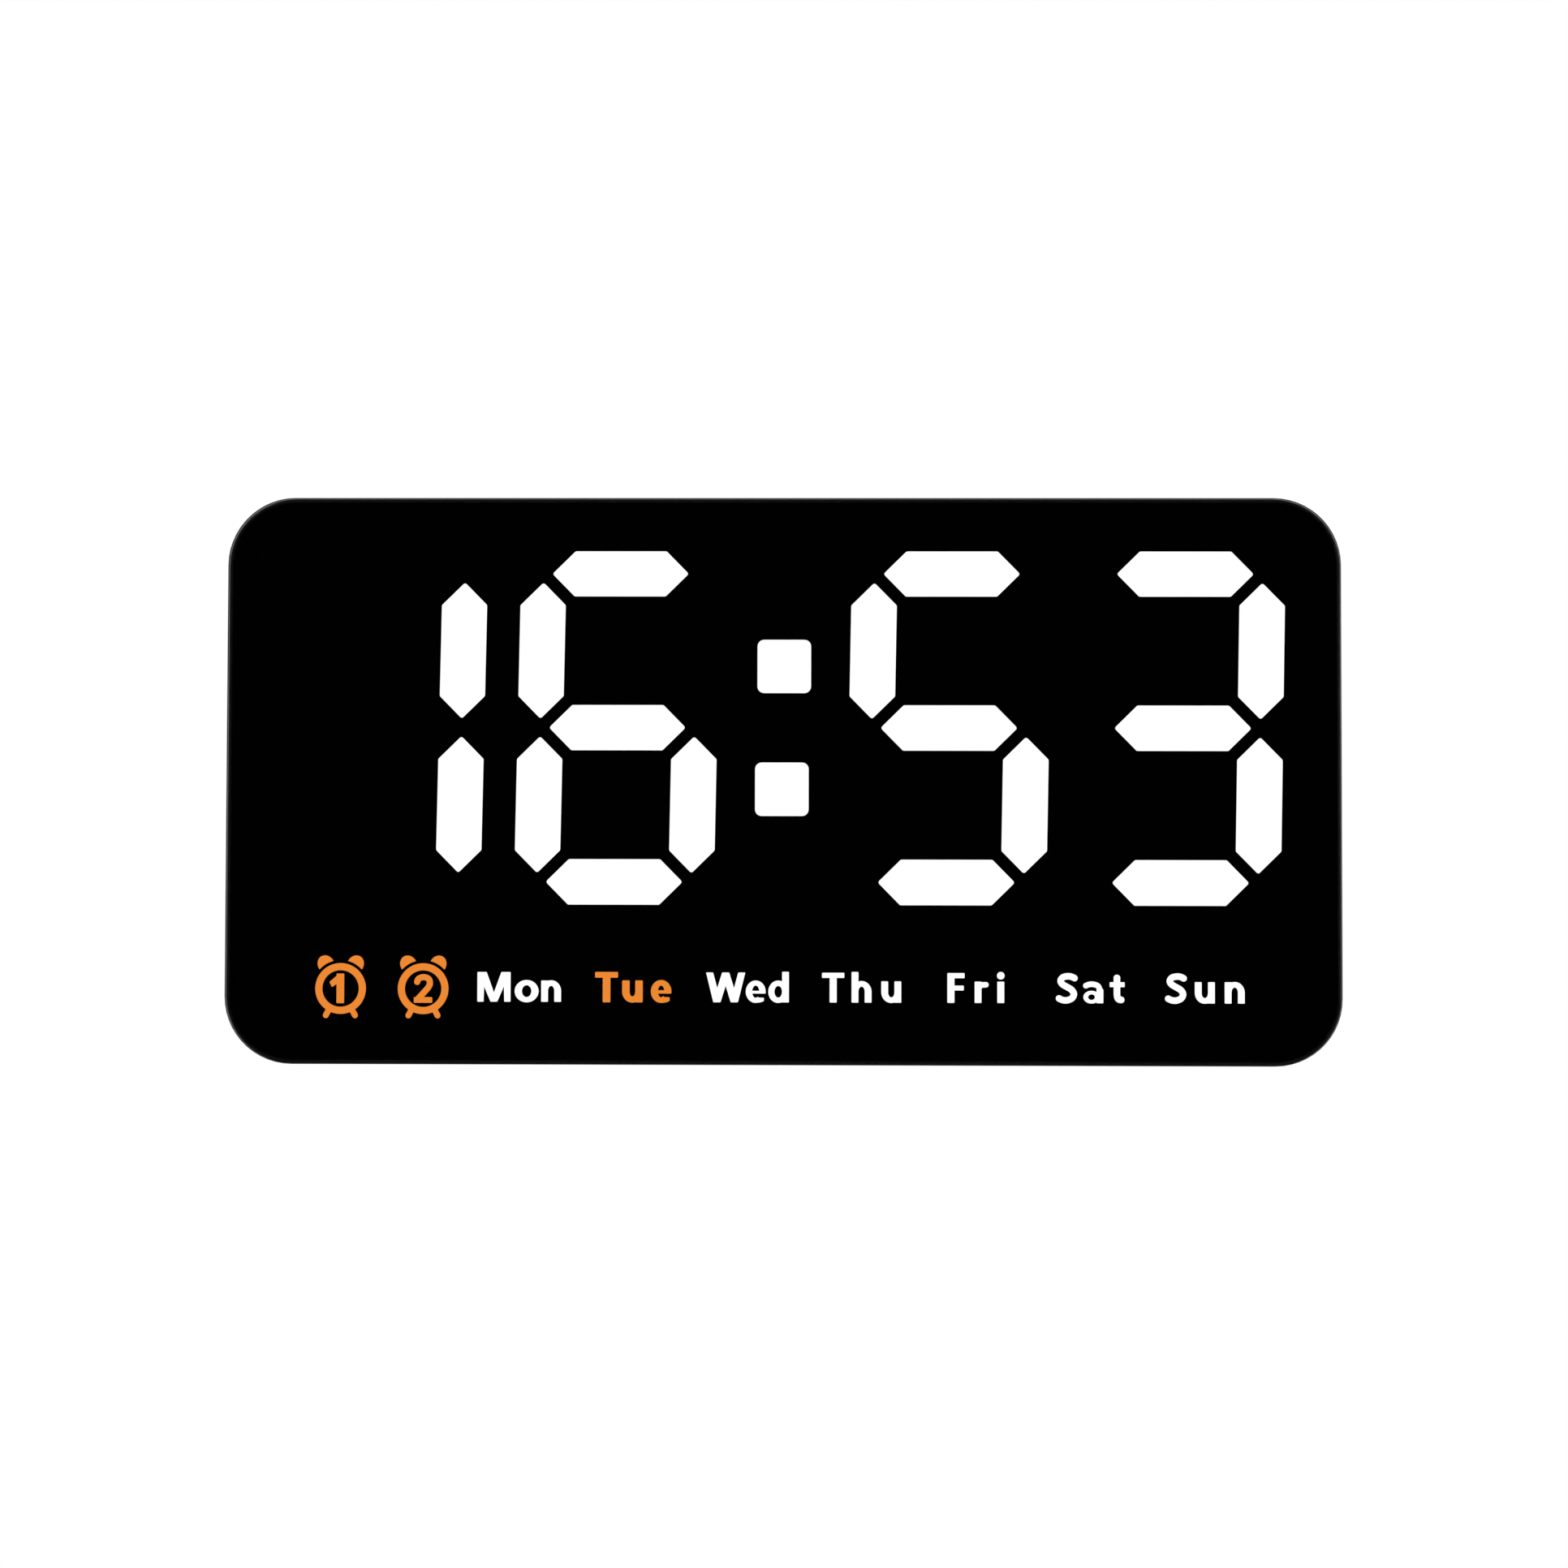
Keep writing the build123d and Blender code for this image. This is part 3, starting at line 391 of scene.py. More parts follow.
def plated(name, colour, roughness):
    """Plated metal with drifting gloss and faint scratches across the pull."""
    finish = Finish(name, {"Metallic": 1.0})
    pull_inputs = {0: place_of(finish), 1: SCRATCH_PULL}
    pulled = finish.add("ShaderNodeVectorMath", {"operation": "MULTIPLY"}, pull_inputs)
    scratch = speckle(finish, SCRATCH, place=pulled)
    cloud = speckle(finish, PLATE_CLOUD, 3.0)
    finish.surface({
        "Base Color": blend_colour(finish, cloud, shade(colour, PLATE_DEEP), colour),
        "Roughness": roughness - 0.05 + 0.1 * scratch + 0.08 * cloud,
        "Normal": relief(finish, scratch, SCRATCH_RISE),
    })
    return finish


zinc = plated("dark_zinc", rgba(0.2, 0.2, 0.21), 0.34)
nickel = plated("nickel_contact", rgba(0.68, 0.65, 0.6), 0.26)
dress(zinc, "case_screws", "board_screws")
dress(nickel, "battery_contacts", "battery_springs")

# %% [markdown]
# The power socket is a drawn steel shell with a black contact tongue inside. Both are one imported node,
# so the finish tells them apart by place: what lies close to the middle line of the mouth, and behind
# the shell's rim, is the tongue.

# %% Power socket
TONGUE_DEEP, TONGUE_TALL, RIM_DEEP = 0.4, 3.4, 0.6
TONGUE_BLACK = rgba(0.012, 0.012, 0.013)


def middle_of(name):
    low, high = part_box(name)
    return (low + high) / 2


def axes_of(finish):
    """The place on the object, split into X, Y and Z."""
    return finish.add("ShaderNodeSeparateXYZ", None, {0: place_of(finish)})


socket_low, socket_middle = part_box("usb_socket")[0], middle_of("usb_socket")
steel = plated("drawn_steel", rgba(0.6, 0.6, 0.61), 0.28)
at = axes_of(steel)
near_depth = abs(at.other("Y") - socket_middle.y) < TONGUE_DEEP * MM
near_height = abs(at.other("Z") - socket_middle.z) < TONGUE_TALL * MM
behind_rim = at.other("X") > socket_low.x + RIM_DEEP * MM
tongue = near_depth * near_height * behind_rim
steel.surface({
    "Base Color": blend_colour(steel, tongue, steel.look("Base Color"), TONGUE_BLACK),
    "Metallic": 1.0 - tongue,
})
dress(steel, "usb_socket")

# %% [markdown]
# Each battery cell is a steel can in a printed sleeve. The cells lie head to tail, so the middle one is
# turned round; a sign that is minus one on the middle row lets one sum serve all three. A plain sleeve
# with one band at its plus end needs no lettering, and the can's bare ends stay metal.

# %% Battery sleeves
CELL_PITCH, CAN_LENGTH = 10.8, 43.5
NUB_REACH, BARE_STEEL = 1.7, 1.4
BAND_START, BAND_END = 9.0, 0.8
SLEEVE_BLUE, BAND_PALE = rgba(0.02, 0.09, 0.16), rgba(0.62, 0.64, 0.66)
SCUFF, SCUFF_GREY, CAN_STEEL = 1.2, rgba(0.3, 0.3, 0.3), rgba(0.66, 0.65, 0.63)
cells_middle, cell_high = middle_of("battery_cells"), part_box("battery_cells")[1]
sleeve = Finish("battery_sleeve", {"Specular IOR Level": 0.45, "Coat Weight": 0.3, "Coat Roughness": 0.2})
at = axes_of(sleeve)
middle_row = abs(at.other("Z") - cells_middle.z) < CELL_PITCH / 2 * MM
along = (at.other("X") - cells_middle.x) * (1.0 - 2.0 * middle_row)
sleeve_end = cell_high.x - cells_middle.x - NUB_REACH * MM
sleeve_start = sleeve_end - (CAN_LENGTH - BARE_STEEL) * MM
bare = (along > sleeve_end) + (along < sleeve_start)
band = (along > sleeve_end - BAND_START * MM) * (along < sleeve_end - BAND_END * MM)
scuff = speckle(sleeve, SCUFF, 4.0)
jacket = blend_colour(sleeve, band, SLEEVE_BLUE, BAND_PALE)
worn = blend_colour(sleeve, 0.25 * scuff, jacket, SCUFF_GREY)
sleeve.surface({
    "Base Color": blend_colour(sleeve, bare, worn, CAN_STEEL),
    "Metallic": bare,
    "Roughness": 0.24 + 0.16 * scuff,
})
dress(sleeve, "battery_cells")

# %% [markdown]
# The display board is glass-fibre laminate under green solder mask, with copper tracks that show
# through as paler lines. A brick pattern makes believable right-angled runs: the mortar is the copper.
# The board stands upright, so the pattern is read from its width and height.

# %% Display board and LEDs
MASK_GREEN, TRACK_GREEN = rgba(0.006, 0.075, 0.024), rgba(0.02, 0.16, 0.05)
WEAVE, TRACK_RISE = 0.8, 0.03
board = Finish("solder_mask", {"Specular IOR Level": 0.5, "Coat Weight": 0.4, "Coat Roughness": 0.15})
at = axes_of(board)
flat = board.add("ShaderNodeCombineXYZ", None, {0: at.other("X"), 1: at.other("Z")})
tracks = board.add("ShaderNodeTexBrick", {"offset": 0.37, "squash": 0.6, "squash_frequency": 3}, {
    "Vector": flat, "Scale": 110.0, "Mortar Size": 0.03, "Mortar Smooth": 0.1,
}, output="Fac")
weave = speckle(board, WEAVE)
board.surface({
    "Base Color": blend_colour(board, tracks, MASK_GREEN, TRACK_GREEN),
    "Roughness": 0.3 + 0.1 * weave,
    "Normal": relief(board, tracks + 0.2 * weave, TRACK_RISE),
})
led_plastic = moulded("led_housing", rgba(0.75, 0.73, 0.62), 0.4)
dress(board, "display_board")
dress(led_plastic, "segment_leds")

# %% [markdown]
# Chips are black epoxy with tinned pins. Their pins stick out past the body, so the distance from the
# chip's middle line tells pin from body, as the tongue was told from its shell.

# %% Chips with tinned pins
TIN = rgba(0.62, 0.62, 0.6)


def chip(name, axes, body_half):
    """Black epoxy inside body_half millimetres of the chip's middle, tinned pins outside it."""
    middle = middle_of(name)
    finish = moulded(f"{name}_epoxy", rgba(0.014, 0.014, 0.015), 0.55, grain=0.2)
    place = axes_of(finish)
    outside = sum((abs(place.other(axis) - getattr(middle, axis.lower())) > body_half * MM) for axis in axes)
    pins = outside > 0.5
    epoxy = finish.look("Base Color")
    finish.surface({"Base Color": blend_colour(finish, pins, epoxy, TIN), "Metallic": pins})
    dress(finish, name)


chip("microcontroller", "XZ", body_half=3.55)
chip("driver_chips", "Z", body_half=2.0)

# %% [markdown]
# The small parts around them: a can of aluminium on a black foot for each capacitor, a pressed can for
# the crystal, a black shell for the buzzer and switches, ceramic chips for the resistors, and two leads
# in red and black PVC. Most take one of the two recipes as it stands. A capacitor is two materials in
# one node, and its foot is the part nearest the board, so its height tells foot from can.

# %% Small parts on the board
FOOT_TALL, FOOT_BLACK = 0.82, rgba(0.015, 0.015, 0.015)
aluminium = plated("capacitor_aluminium", rgba(0.72, 0.72, 0.72), 0.3)
foot = axes_of(aluminium).other("Y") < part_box("capacitors")[0].y + FOOT_TALL * MM
aluminium.surface({
    "Base Color": blend_colour(aluminium, foot, aluminium.look("Base Color"), FOOT_BLACK),
    "Metallic": 1.0 - foot,
})
dress(aluminium, "capacitors")
dress(plated("crystal_can", rgba(0.66, 0.65, 0.62), 0.3), "quartz_crystal")
dress(moulded("black_shell", rgba(0.016, 0.016, 0.017), 0.4), "buzzer", "push_switches")
dress(moulded("ceramic_chip", rgba(0.03, 0.03, 0.032), 0.35), "chip_resistors")
dress(moulded("red_pvc", rgba(0.45, 0.012, 0.01), 0.42), "battery_lead_red")
dress(moulded("black_pvc", rgba(0.012, 0.012, 0.012), 0.42), "battery_lead_black")
dress(moulded("white_abs", rgba(0.78, 0.78, 0.76), 0.42), "reflector_block")

# %% [markdown]
# Words and signs are clear shapes in the printed film with light behind them. A font could set the
# words, but the letters on such a film are drawn for it: low, very bold and a little soft at the
# corners. So each letter is built from a few overlapping flat shapes, in millimetres from its lower
# left corner: blocks, slanted slabs, bows and brush strokes.

# %% Shapes that letters are made of
from math import cos, pi, radians, sin

from mathutils import Vector

CORNER = 0.14


def corners_of(line):
    """Each point of a closed line between the point before it and the point after it."""
    return zip(line[-1:] + line[:-1], line, line[1:] + line[:1])


def soften(corners):
    """A polygon with each corner cut to a short curve."""
    rounded = []
    for before, point, after in corners_of([Vector(corner) for corner in corners]):
        start = point + CORNER * (before - point).normalized()
        end = point + CORNER * (after - point).normalized()
        rounded += [start, (start + 2 * point + end) / 4, end]
    return rounded


def block(left, foot, right, top):
    return soften([(left, foot), (right, foot), (right, top), (left, top)])


def bow(middle, outer, inner, start, stop, steps=28):
    """A bent strip between two ellipses, from the start to the stop angle in degrees."""
    turns = [radians(start + (stop - start) * i / steps) for i in range(steps + 1)]
    edges = [[Vector((middle[0] + half[0] * cos(a), middle[1] + half[1] * sin(a))) for a in turns]
             for half in (outer, inner)]
    return edges[0] + edges[1][::-1]


def ring(middle, outer, inner):
    return [bow(middle, outer, inner, 0, 180), bow(middle, outer, inner, 180, 360)]


def disc(middle, radius, steps=24):
    turns = [2 * pi * i / steps for i in range(steps)]
    return [Vector((middle[0] + radius * cos(a), middle[1] + radius * sin(a))) for a in turns]


print("letters are made of blocks, bows, rings and discs")

# %% [markdown]
# Letters such as S have no straight part. For those a brush follows a smooth line through a few points:
# each short run leaves a four-sided patch and each bend a disc, and the patches melt together later.

# %% A brush stroke along a smooth line
def smooth_line(points, steps):
    """Points along a smooth curve through the given ones."""
    p = [Vector(point) for point in points]
    p = [2 * p[0] - p[1]] + p + [2 * p[-1] - p[-2]]
    line = []
    for a, b, c, d in zip(p, p[1:], p[2:], p[3:]):
        for i in range(steps):
            t = i / steps
            line.append(0.5 * (2 * b + (c - a) * t + (2 * a - 5 * b + 4 * c - d) * t * t
                               + (3 * b - a - 3 * c + d) * t**3))
    return line + [p[-2]]


def brush(points, width, steps=6):
    """Overlapping patches that a flat brush leaves along a smooth line."""
    line = smooth_line(points, steps)
    patches = [disc(point, width / 2) for point in line[1:-1]]
    for a, b in zip(line, line[1:]):
        side = (b - a).orthogonal().normalized() * width / 2
        patches.append([a - side, b - side, b + side, a + side])
    return patches


print("a brush stroke of four points has", len(brush([(0, 0), (1, 1), (2, 1), (3, 0)], 1.0)), "patches")

# %% [markdown]
# The alphabet of the row. Capitals are 4.55 mm tall and small letters 3.3 mm, with stems of about
# 1.15 mm. Each letter could be drawn on its own, but the u is the n turned upside down, h is an n with a
# longer stem, and M and W are one half and its mirror image, so they share shapes and look alike.

# %% The letters of the weekdays
CAPITAL, SMALL, TALL, STEM = 4.55, 3.3, 4.68, 1.16
ARCH, WIDE_M, WIDE_W = 3.1, 5.07, 6.0


def mirrored(shapes, width):
    return [[Vector((width - x, z)) for x, z in reversed(shape)] for shape in shapes]


def upside_down(shapes, width, height):
    return [[Vector((width - x, height - z)) for x, z in shape] for shape in shapes]


def arched(stem_top):
    """The n, or the h when its left stem is tall."""
    half = ARCH / 2
    return [block(0, 0, STEM, stem_top), block(ARCH - STEM, 0, ARCH, 1.9),
            bow((half, 1.68), (half, 1.66), (half - STEM, 0.68), 0, 180)]


m_half = [block(0, 0, 1.08, CAPITAL), soften([(0.2, CAPITAL), (1.98, 0), (3.06, 0), (1.5, CAPITAL)])]
w_half = [soften([(0, CAPITAL), (1.12, 0), (2.3, 0), (1.2, CAPITAL)]),
          soften([(1.12, 0), (2.3, 0), (3.6, CAPITAL), (2.42, CAPITAL)])]
letters = {
    "M": (WIDE_M, m_half + mirrored(m_half, WIDE_M)),
    "T": (3.45, [block(0, 3.64, 3.45, CAPITAL), block(1.13, 0, 2.32, CAPITAL)]),
    "W": (WIDE_W, w_half + mirrored(w_half, WIDE_W)),
    "F": (2.7, [block(0, 0, 1.2, CAPITAL), block(0, 3.64, 2.7, CAPITAL), block(0, 1.83, 2.58, 2.7)]),
    "S": (3.3, brush([(2.84, 3.72), (2.3, 3.98), (1.7, 4.04), (1.02, 3.86), (0.7, 3.36), (0.98, 2.86),
                      (1.65, 2.46), (2.34, 2.02), (2.66, 1.4), (2.34, 0.78), (1.62, 0.5), (0.95, 0.55),
                      (0.36, 0.82)], 1.1)),
    "o": (3.7, ring((1.85, 1.65), (1.85, 1.73), (0.62, 0.8))),
    "n": (ARCH, arched(SMALL)),
    "h": (ARCH, arched(TALL)),
    "u": (ARCH, upside_down(arched(SMALL), ARCH, SMALL)),
    "d": (3.2, ring((1.55, 1.65), (1.55, 1.73), (0.48, 0.78)) + [block(3.2 - STEM, 0, 3.2, TALL)]),
    "e": (3.1, [bow((1.55, 1.65), (1.55, 1.73), (0.45, 0.83), 0, 312), block(0.6, 1.3, 3.09, 1.86),
                soften([(1.6, -0.06), (2.3, 0.0), (2.84, 0.24), (2.84, 0.84), (1.7, 0.84)])]),
    "a": (3.1, ring((1.28, 0.97), (1.28, 1.02), (0.42, 0.34)) + [block(1.94, 0, 3.1, 2.2)]
          + brush([(0.34, 2.62), (0.95, 2.85), (1.6, 2.86), (2.25, 2.6), (2.52, 2.0)], 0.96)),
    "t": (2.35, [block(0, 2.38, 2.35, 3.26)]
          + brush([(1.14, 4.1), (1.14, 2.4), (1.16, 1.2), (1.36, 0.7), (1.84, 0.56)], 1.12)),
    "r": (2.2, [block(0, 0, STEM, SMALL), disc((1.74, 2.76), 0.48)]
          + brush([(0.55, 1.7), (0.7, 2.3), (1.1, 2.7), (1.74, 2.76)], 0.96)),
    "i": (1.3, [block(0.06, 0, 1.24, SMALL), disc((0.65, 4.1), 0.64)]),
}
print(len(letters), "letters drawn:", " ".join(sorted(letters)))

# %% [markdown]
# The shapes overlap, and overlapping faces would flicker and export badly. A constrained
# triangulation finds every crossing and returns one clean sheet of triangles. Its border then gives the
# outline of the whole word, which can be trimmed a little, as ink and film shrink a window, and filled
# again without the inner points.

# %% Melt shapes into one sheet
from mathutils.geometry import delaunay_2d_cdt

NEAR = 1e-5


def turning(line):
    """Twice the area inside a closed line, negative when the line runs clockwise."""
    return sum(a.cross(b) for a, b in zip(line, line[1:] + line[:1]))


def sheet_of(outlines, holes=()):
    """Triangles over what lies inside the outlines and outside the holes: points and faces."""
    points, loops = [], []
    for line in [*outlines, *holes]:
        loops.append(list(range(len(points), len(points) + len(line))))
        points += line if turning(line) > 0 else line[::-1]
    result = delaunay_2d_cdt(points, [], loops, 1, NEAR)
    cover = [sum(1 if loop < len(outlines) else -1 for loop in inside) for inside in result[5]]
    return result[0], [face for face, layers in zip(result[2], cover) if layers > 0]


def rim_of(faces):
    """The sides of a sheet that belong to one face alone, in a fixed order."""
    sides = {(a, b) for face in faces for a, b in zip(face, face[1:] + face[:1])}
    return [(a, b) for a, b in sorted(sides) if (b, a) not in sides]


def borders_of(points, faces):
    """The closed border lines of a sheet, each with the sheet on its left."""
    onward = {}
    for a, b in rim_of(faces):
        onward.setdefault(a, []).append(b)
    lines = []
    while onward:
        start = at = min(onward)
        line = []
        while at != start or not line:
            line.append(points[at])
            ways = onward[at]
            if len(ways) == 1:
                del onward[at]
            at = ways.pop()
        lines.append(line)
    return lines


print("two crossed bars have", len(borders_of(*sheet_of([block(0, 1, 3, 2), block(1, 0, 2, 3)]))), "border")

# %% [markdown]
# Trimming moves every border point towards the inside, along the line that halves its corner. An
# outline that runs the other way round is a hole, so the same move makes holes wider. Where a corner is
# very sharp that line is long, so a limit keeps the point from running away.

# %% Trim a sheet
SHORT, SHARPEST = 0.02, 0.5


def trimmed(line, trim):
    """A border line moved into its sheet by trim millimetres."""
    kept = [point for before, point, _ in corners_of(line) if (point - before).length > SHORT]
    inside = []
    for before, point, after in corners_of(kept):
        come, go = (point - before).normalized(), (after - point).normalized()
        left = Vector((-come.y - go.y, come.x + go.x))
        inside.append(point + left * trim / max(1 + come.dot(go), SHARPEST))
    return inside


def melted(shapes, trim):
    """One flat sheet that covers all the shapes, trimmed along its border."""
    lines = [trimmed(line, trim) for line in borders_of(*sheet_of(shapes))]
    outlines = [line for line in lines if turning(line) > 0]
    return sheet_of(outlines, [line for line in lines if turning(line) < 0])


print("a trimmed ring has", len(melted(ring((0, 0), (2, 2), (1, 1)), 0.1)[1]), "triangles")

# %% [markdown]
# The sheet is drawn out to a thin solid, so that each word is one closed piece lying on the film. A flat
# sheet would do for one picture, but it has no back and no edge, and a Solidify modifier would have to
# be told which side is up. Laying the sheet at two known depths and walling up its rim closes the mesh,
# seats it, and gives the same faces in the same order each time.

# %% Make a thin solid
import bmesh


def mesh_of(name, work, finish):
    """The worked faces as a mesh with its finish."""
    mesh = bpy.data.meshes.new(name)
    work.to_mesh(mesh)
    work.free()
    mesh.materials.append(finish.material)
    return mesh


def set_down(name, data):
    """An object in the scene that shows the data."""
    thing = bpy.data.objects.new(name, data)
    bpy.context.scene.collection.objects.link(thing)
    return thing


def thin_piece(name, shapes, seat, top, body, finish, wrap=None, trim=0.0):
    """A thin solid of the shapes, from the seat to the top depth in millimetres, riding on a body."""
    points, faces = melted(shapes, trim)
    work = bmesh.new()
    base, lid = ([work.verts.new((x * MM, -depth * MM, z * MM)) for x, z in points] for depth in (seat, top))
    for face in faces:
        work.faces.new([base[i] for i in face])
        work.faces.new([lid[i] for i in face])
    for a, b in rim_of(faces):
        work.faces.new([base[a], base[b], lid[b], lid[a]])
    bmesh.ops.delete(work, geom=[v for v in work.verts if not v.link_faces], context="VERTS")
    bmesh.ops.recalc_face_normals(work, faces=work.faces)
    if wrap:
        for vert in work.verts:
            vert.co = wrap(vert.co)
    piece = set_down(name, mesh_of(name, work, finish))
    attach(piece, body)
    print(name, "has", len(piece.data.polygons), "faces and rides on", body)
    return piece


print("a thin solid lies between two depths and rides on a body")

# %% [markdown]
# Each word is spaced as on the face, where short letters stand further apart so that all seven words
# fill alike. A word is centred on its light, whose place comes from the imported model, and lies between
# the film and the lens. Film shrinks by a few parts in a thousand when its ink is baked, so the row is a
# little shorter than the row of lights.

# %% The seven words
FILM_FRONT = -TO_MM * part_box("legend_film")[0].y
INK, FILM_SHRINK = 0.03, 0.9965
WHITE_TRIM, ORANGE_TRIM = 0.08, 0.03
word_gaps = {
    "Mon": (0.46, 0.23), "Tue": (0.56, 1.15), "Wed": (-0.1, 0.23), "Thu": (0.92, 1.29),
    "Fri": (1.33, 1.08), "Sat": (0.68, 0.79), "Sun": (1.01, 1.3),
}
light_of = {name[:3].capitalize(): name for name in [*day_lights, "tuesday_light"]}


def moved(shapes, x, z):
    return [[point + Vector((x, z)) for point in shape] for shape in shapes]


for word, gaps in word_gaps.items():
    shapes, pen = [], 0.0
    for letter, gap in zip(word, (*gaps, 0.0)):
        width, strokes = letters[letter]
        shapes += moved(strokes, pen, 0)
        pen += width + gap
    light = light_of[word]
    centre = TO_MM * middle_of(light)
    placed = moved(shapes, FILM_SHRINK * centre.x - pen / 2, centre.z - CAPITAL / 2)
    is_orange = light in orange_lights
    glow, trim = (orange_glow, ORANGE_TRIM) if is_orange else (white_glow, WHITE_TRIM)
    piece = thin_piece(light.replace("light", "word"), placed, FILM_FRONT, FILM_FRONT + INK,
                       "clock_case", glow, trim=trim)

# %% [markdown]
# The alarm signs are little bell clocks: a ring, two domed bells that follow the ring with a thin dark
# gap, two splayed feet and a figure. A bell is half an ellipse, closed by a short arc of the gap's own
# circle, which gives it the hollow underside.

# %% The two alarm signs
from math import asin

RING_OUTER, RING_INNER = 3.81, 2.66
BELL_GAP, BELL_HALF, BELL_RISE, BELL_STEPS = 0.36, 1.25, 1.44, 24
BELL_TURN = radians(121.5)
LEG_WIDTH = 0.96
SIGN_DROP, SIGN_TRIM = 0.3, 0.05


def domed_bell(side):
    out = Vector((side * cos(BELL_TURN), sin(BELL_TURN)))
    wide = Vector((out.y, -out.x))
    seat = RING_OUTER + BELL_GAP
    dome, hollow = [], []
    for i in range(BELL_STEPS + 1):
        turn = pi * i / BELL_STEPS
        dome.append(seat * out + BELL_HALF * cos(turn) * wide + BELL_RISE * sin(turn) * out)
        swing = asin(BELL_HALF / seat) * (2 * i / BELL_STEPS - 1)
        hollow.append(seat * (cos(swing) * out + sin(swing) * wide))
    return dome + hollow


def splayed_foot(side):
    hip, toe = (side * 1.6, -2.9), (side * 2.16, -3.96)
    return brush([hip, toe], LEG_WIDTH, 1) + [disc(toe, LEG_WIDTH / 2)]


figures = {
    1: [block(-0.64, -2.22, 0.58, 2.26),
        soften([(0.1, 2.26), (-0.3, 2.2), (-1.72, 0.98), (-1.3, 0.14), (-0.2, 0.84)])],
    2: [block(-1.42, -2.14, 1.4, -1.2)] + brush(
        [(-0.92, 0.92), (-0.72, 1.42), (-0.22, 1.68), (0.33, 1.68), (0.84, 1.4), (1.0, 0.8), (0.76, 0.2),
         (0.18, -0.48), (-0.46, -1.18), (-0.86, -1.62)], 1.0),
}
sign_shapes = ring((0, 0), (RING_OUTER, RING_OUTER), (RING_INNER, RING_INNER))
sign_shapes += [domed_bell(1), domed_bell(-1)] + splayed_foot(1) + splayed_foot(-1)
for number, figure in figures.items():
    centre = TO_MM * middle_of(f"alarm_{number}_light")
    placed = moved(sign_shapes + figure, FILM_SHRINK * centre.x, centre.z - SIGN_DROP)
    piece = thin_piece(f"alarm_{number}_sign", placed, FILM_FRONT, FILM_FRONT + INK,
                       "clock_case", orange_glow, trim=SIGN_TRIM)

# %% [markdown]
# The five buttons on the back carry pad-printed marks instead of words: three bars for the mode, a ring
# with a dot for setting, two triangles for up and down and a bell for the alarm. The print is a few
# hundredths of a millimetre thick and rides on its button, so it goes in when the button is pressed.

# %% Marks on the buttons
PRINT = 0.03
print_white = moulded("pad_print", rgba(0.62, 0.62, 0.6), 0.55, grain=0.2, rise=0.002)
bell_outline = [(-1.55, -0.95), (1.55, -0.95), (1.2, -0.5), (1.05, 0.55), (0.7, 1.2), (0.25, 1.5),
                (-0.25, 1.5), (-0.7, 1.2), (-1.05, 0.55), (-1.2, -0.5)]
marks = {
    "mode": [block(-1.5, rise - 0.2, 1.5, rise + 0.2) for rise in (-1.0, 0.0, 1.0)],
    "set": ring((0, 0), (1.55, 1.55), (1.12, 1.12)) + [disc((0, 0), 0.5)],
    "up": [soften([(-1.5, -0.95), (1.5, -0.95), (0, 1.45)])],
    "down": [soften([(-1.5, 0.95), (0, -1.45), (1.5, 0.95)])],
    "alarm": [soften(bell_outline), disc((0, -1.28), 0.42)],
}
for name, shapes in marks.items():
    cap = f"{name}_button"
    centre, cap_face = TO_MM * middle_of(cap), -TO_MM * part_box(cap)[1].y
    thin_piece(f"{name}_mark", moved(shapes, centre.x, centre.z), cap_face, cap_face - PRINT,
               cap, print_white)

# %% [markdown]
# A raised triangle on the battery door points to its latch, as moulded doors have it, and its top has
# taken the same white print as the buttons. It stands up less than the door lies below the wall plane,
# so it never touches the wall, and it swings with the door.

# %% Arrow on the battery door
ARROW_RISE, ARROW_LIFT = 0.12, 12.6
door_low, door_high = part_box("battery_door")
door_face, latch_z = -TO_MM * door_high.y, TO_MM * door_low.z
arrow = soften([(-2.4, 1.5), (0, -1.9), (2.4, 1.5)])
thin_piece("door_arrow", moved([arrow], 0, latch_z + ARROW_LIFT), door_face, door_face - ARROW_RISE,
           "battery_door", print_white)

# %% [markdown]
# With the door open the cells show which way they lie: a plus beside the pale band of the nub's end and
# a bar near the flat end, printed on the sleeve. A flat print is bent round the can by turning its
# height into an angle.

# %% Polarity signs on the cells
CELL_RADIUS = 5.25
SIGN_REACH, SIGN_LINE = 1.5, 0.6
PLUS_PLACE, BAR_PLACE = 8.8, -15.5


def run(start, end, count=10):
    """Short steps from start to end, so that a print can bend."""
    start, end = Vector(start), Vector(end)
    return [start + (end - start) * i / count for i in range(count + 1)]


def round_the_can(row_z, cell_y):
    def wrap(point):
        angle = (point.z - row_z) / (CELL_RADIUS * MM)
        reach = CELL_RADIUS * MM + (point.y - cell_y)
        return Vector((point.x, cells_middle.y + reach * cos(angle), row_z + reach * sin(angle)))
    return wrap


upright = brush(run((0, -SIGN_REACH), (0, SIGN_REACH)), SIGN_LINE, 1)
level = brush(run((-SIGN_REACH, 0), (SIGN_REACH, 0)), SIGN_LINE, 1)
can_back = TO_MM * cell_high.y
for row, lift, turn in (("top", CELL_PITCH, 1), ("middle", 0.0, -1), ("bottom", -CELL_PITCH, 1)):
    row_z = TO_MM * cells_middle.z + lift
    shapes = moved(upright + level, turn * PLUS_PLACE, row_z) + moved(upright, turn * BAR_PLACE, row_z)
    thin_piece(f"{row}_cell_signs", shapes, -can_back, -can_back - PRINT, "clock_case", print_white,
               round_the_can(row_z * MM, cell_high.y))

# %% [markdown]
# The socket's tongue carries twelve gilded contacts on each side. They are what makes a socket look
# like one when the light catches it, so they are real strips and not paint.

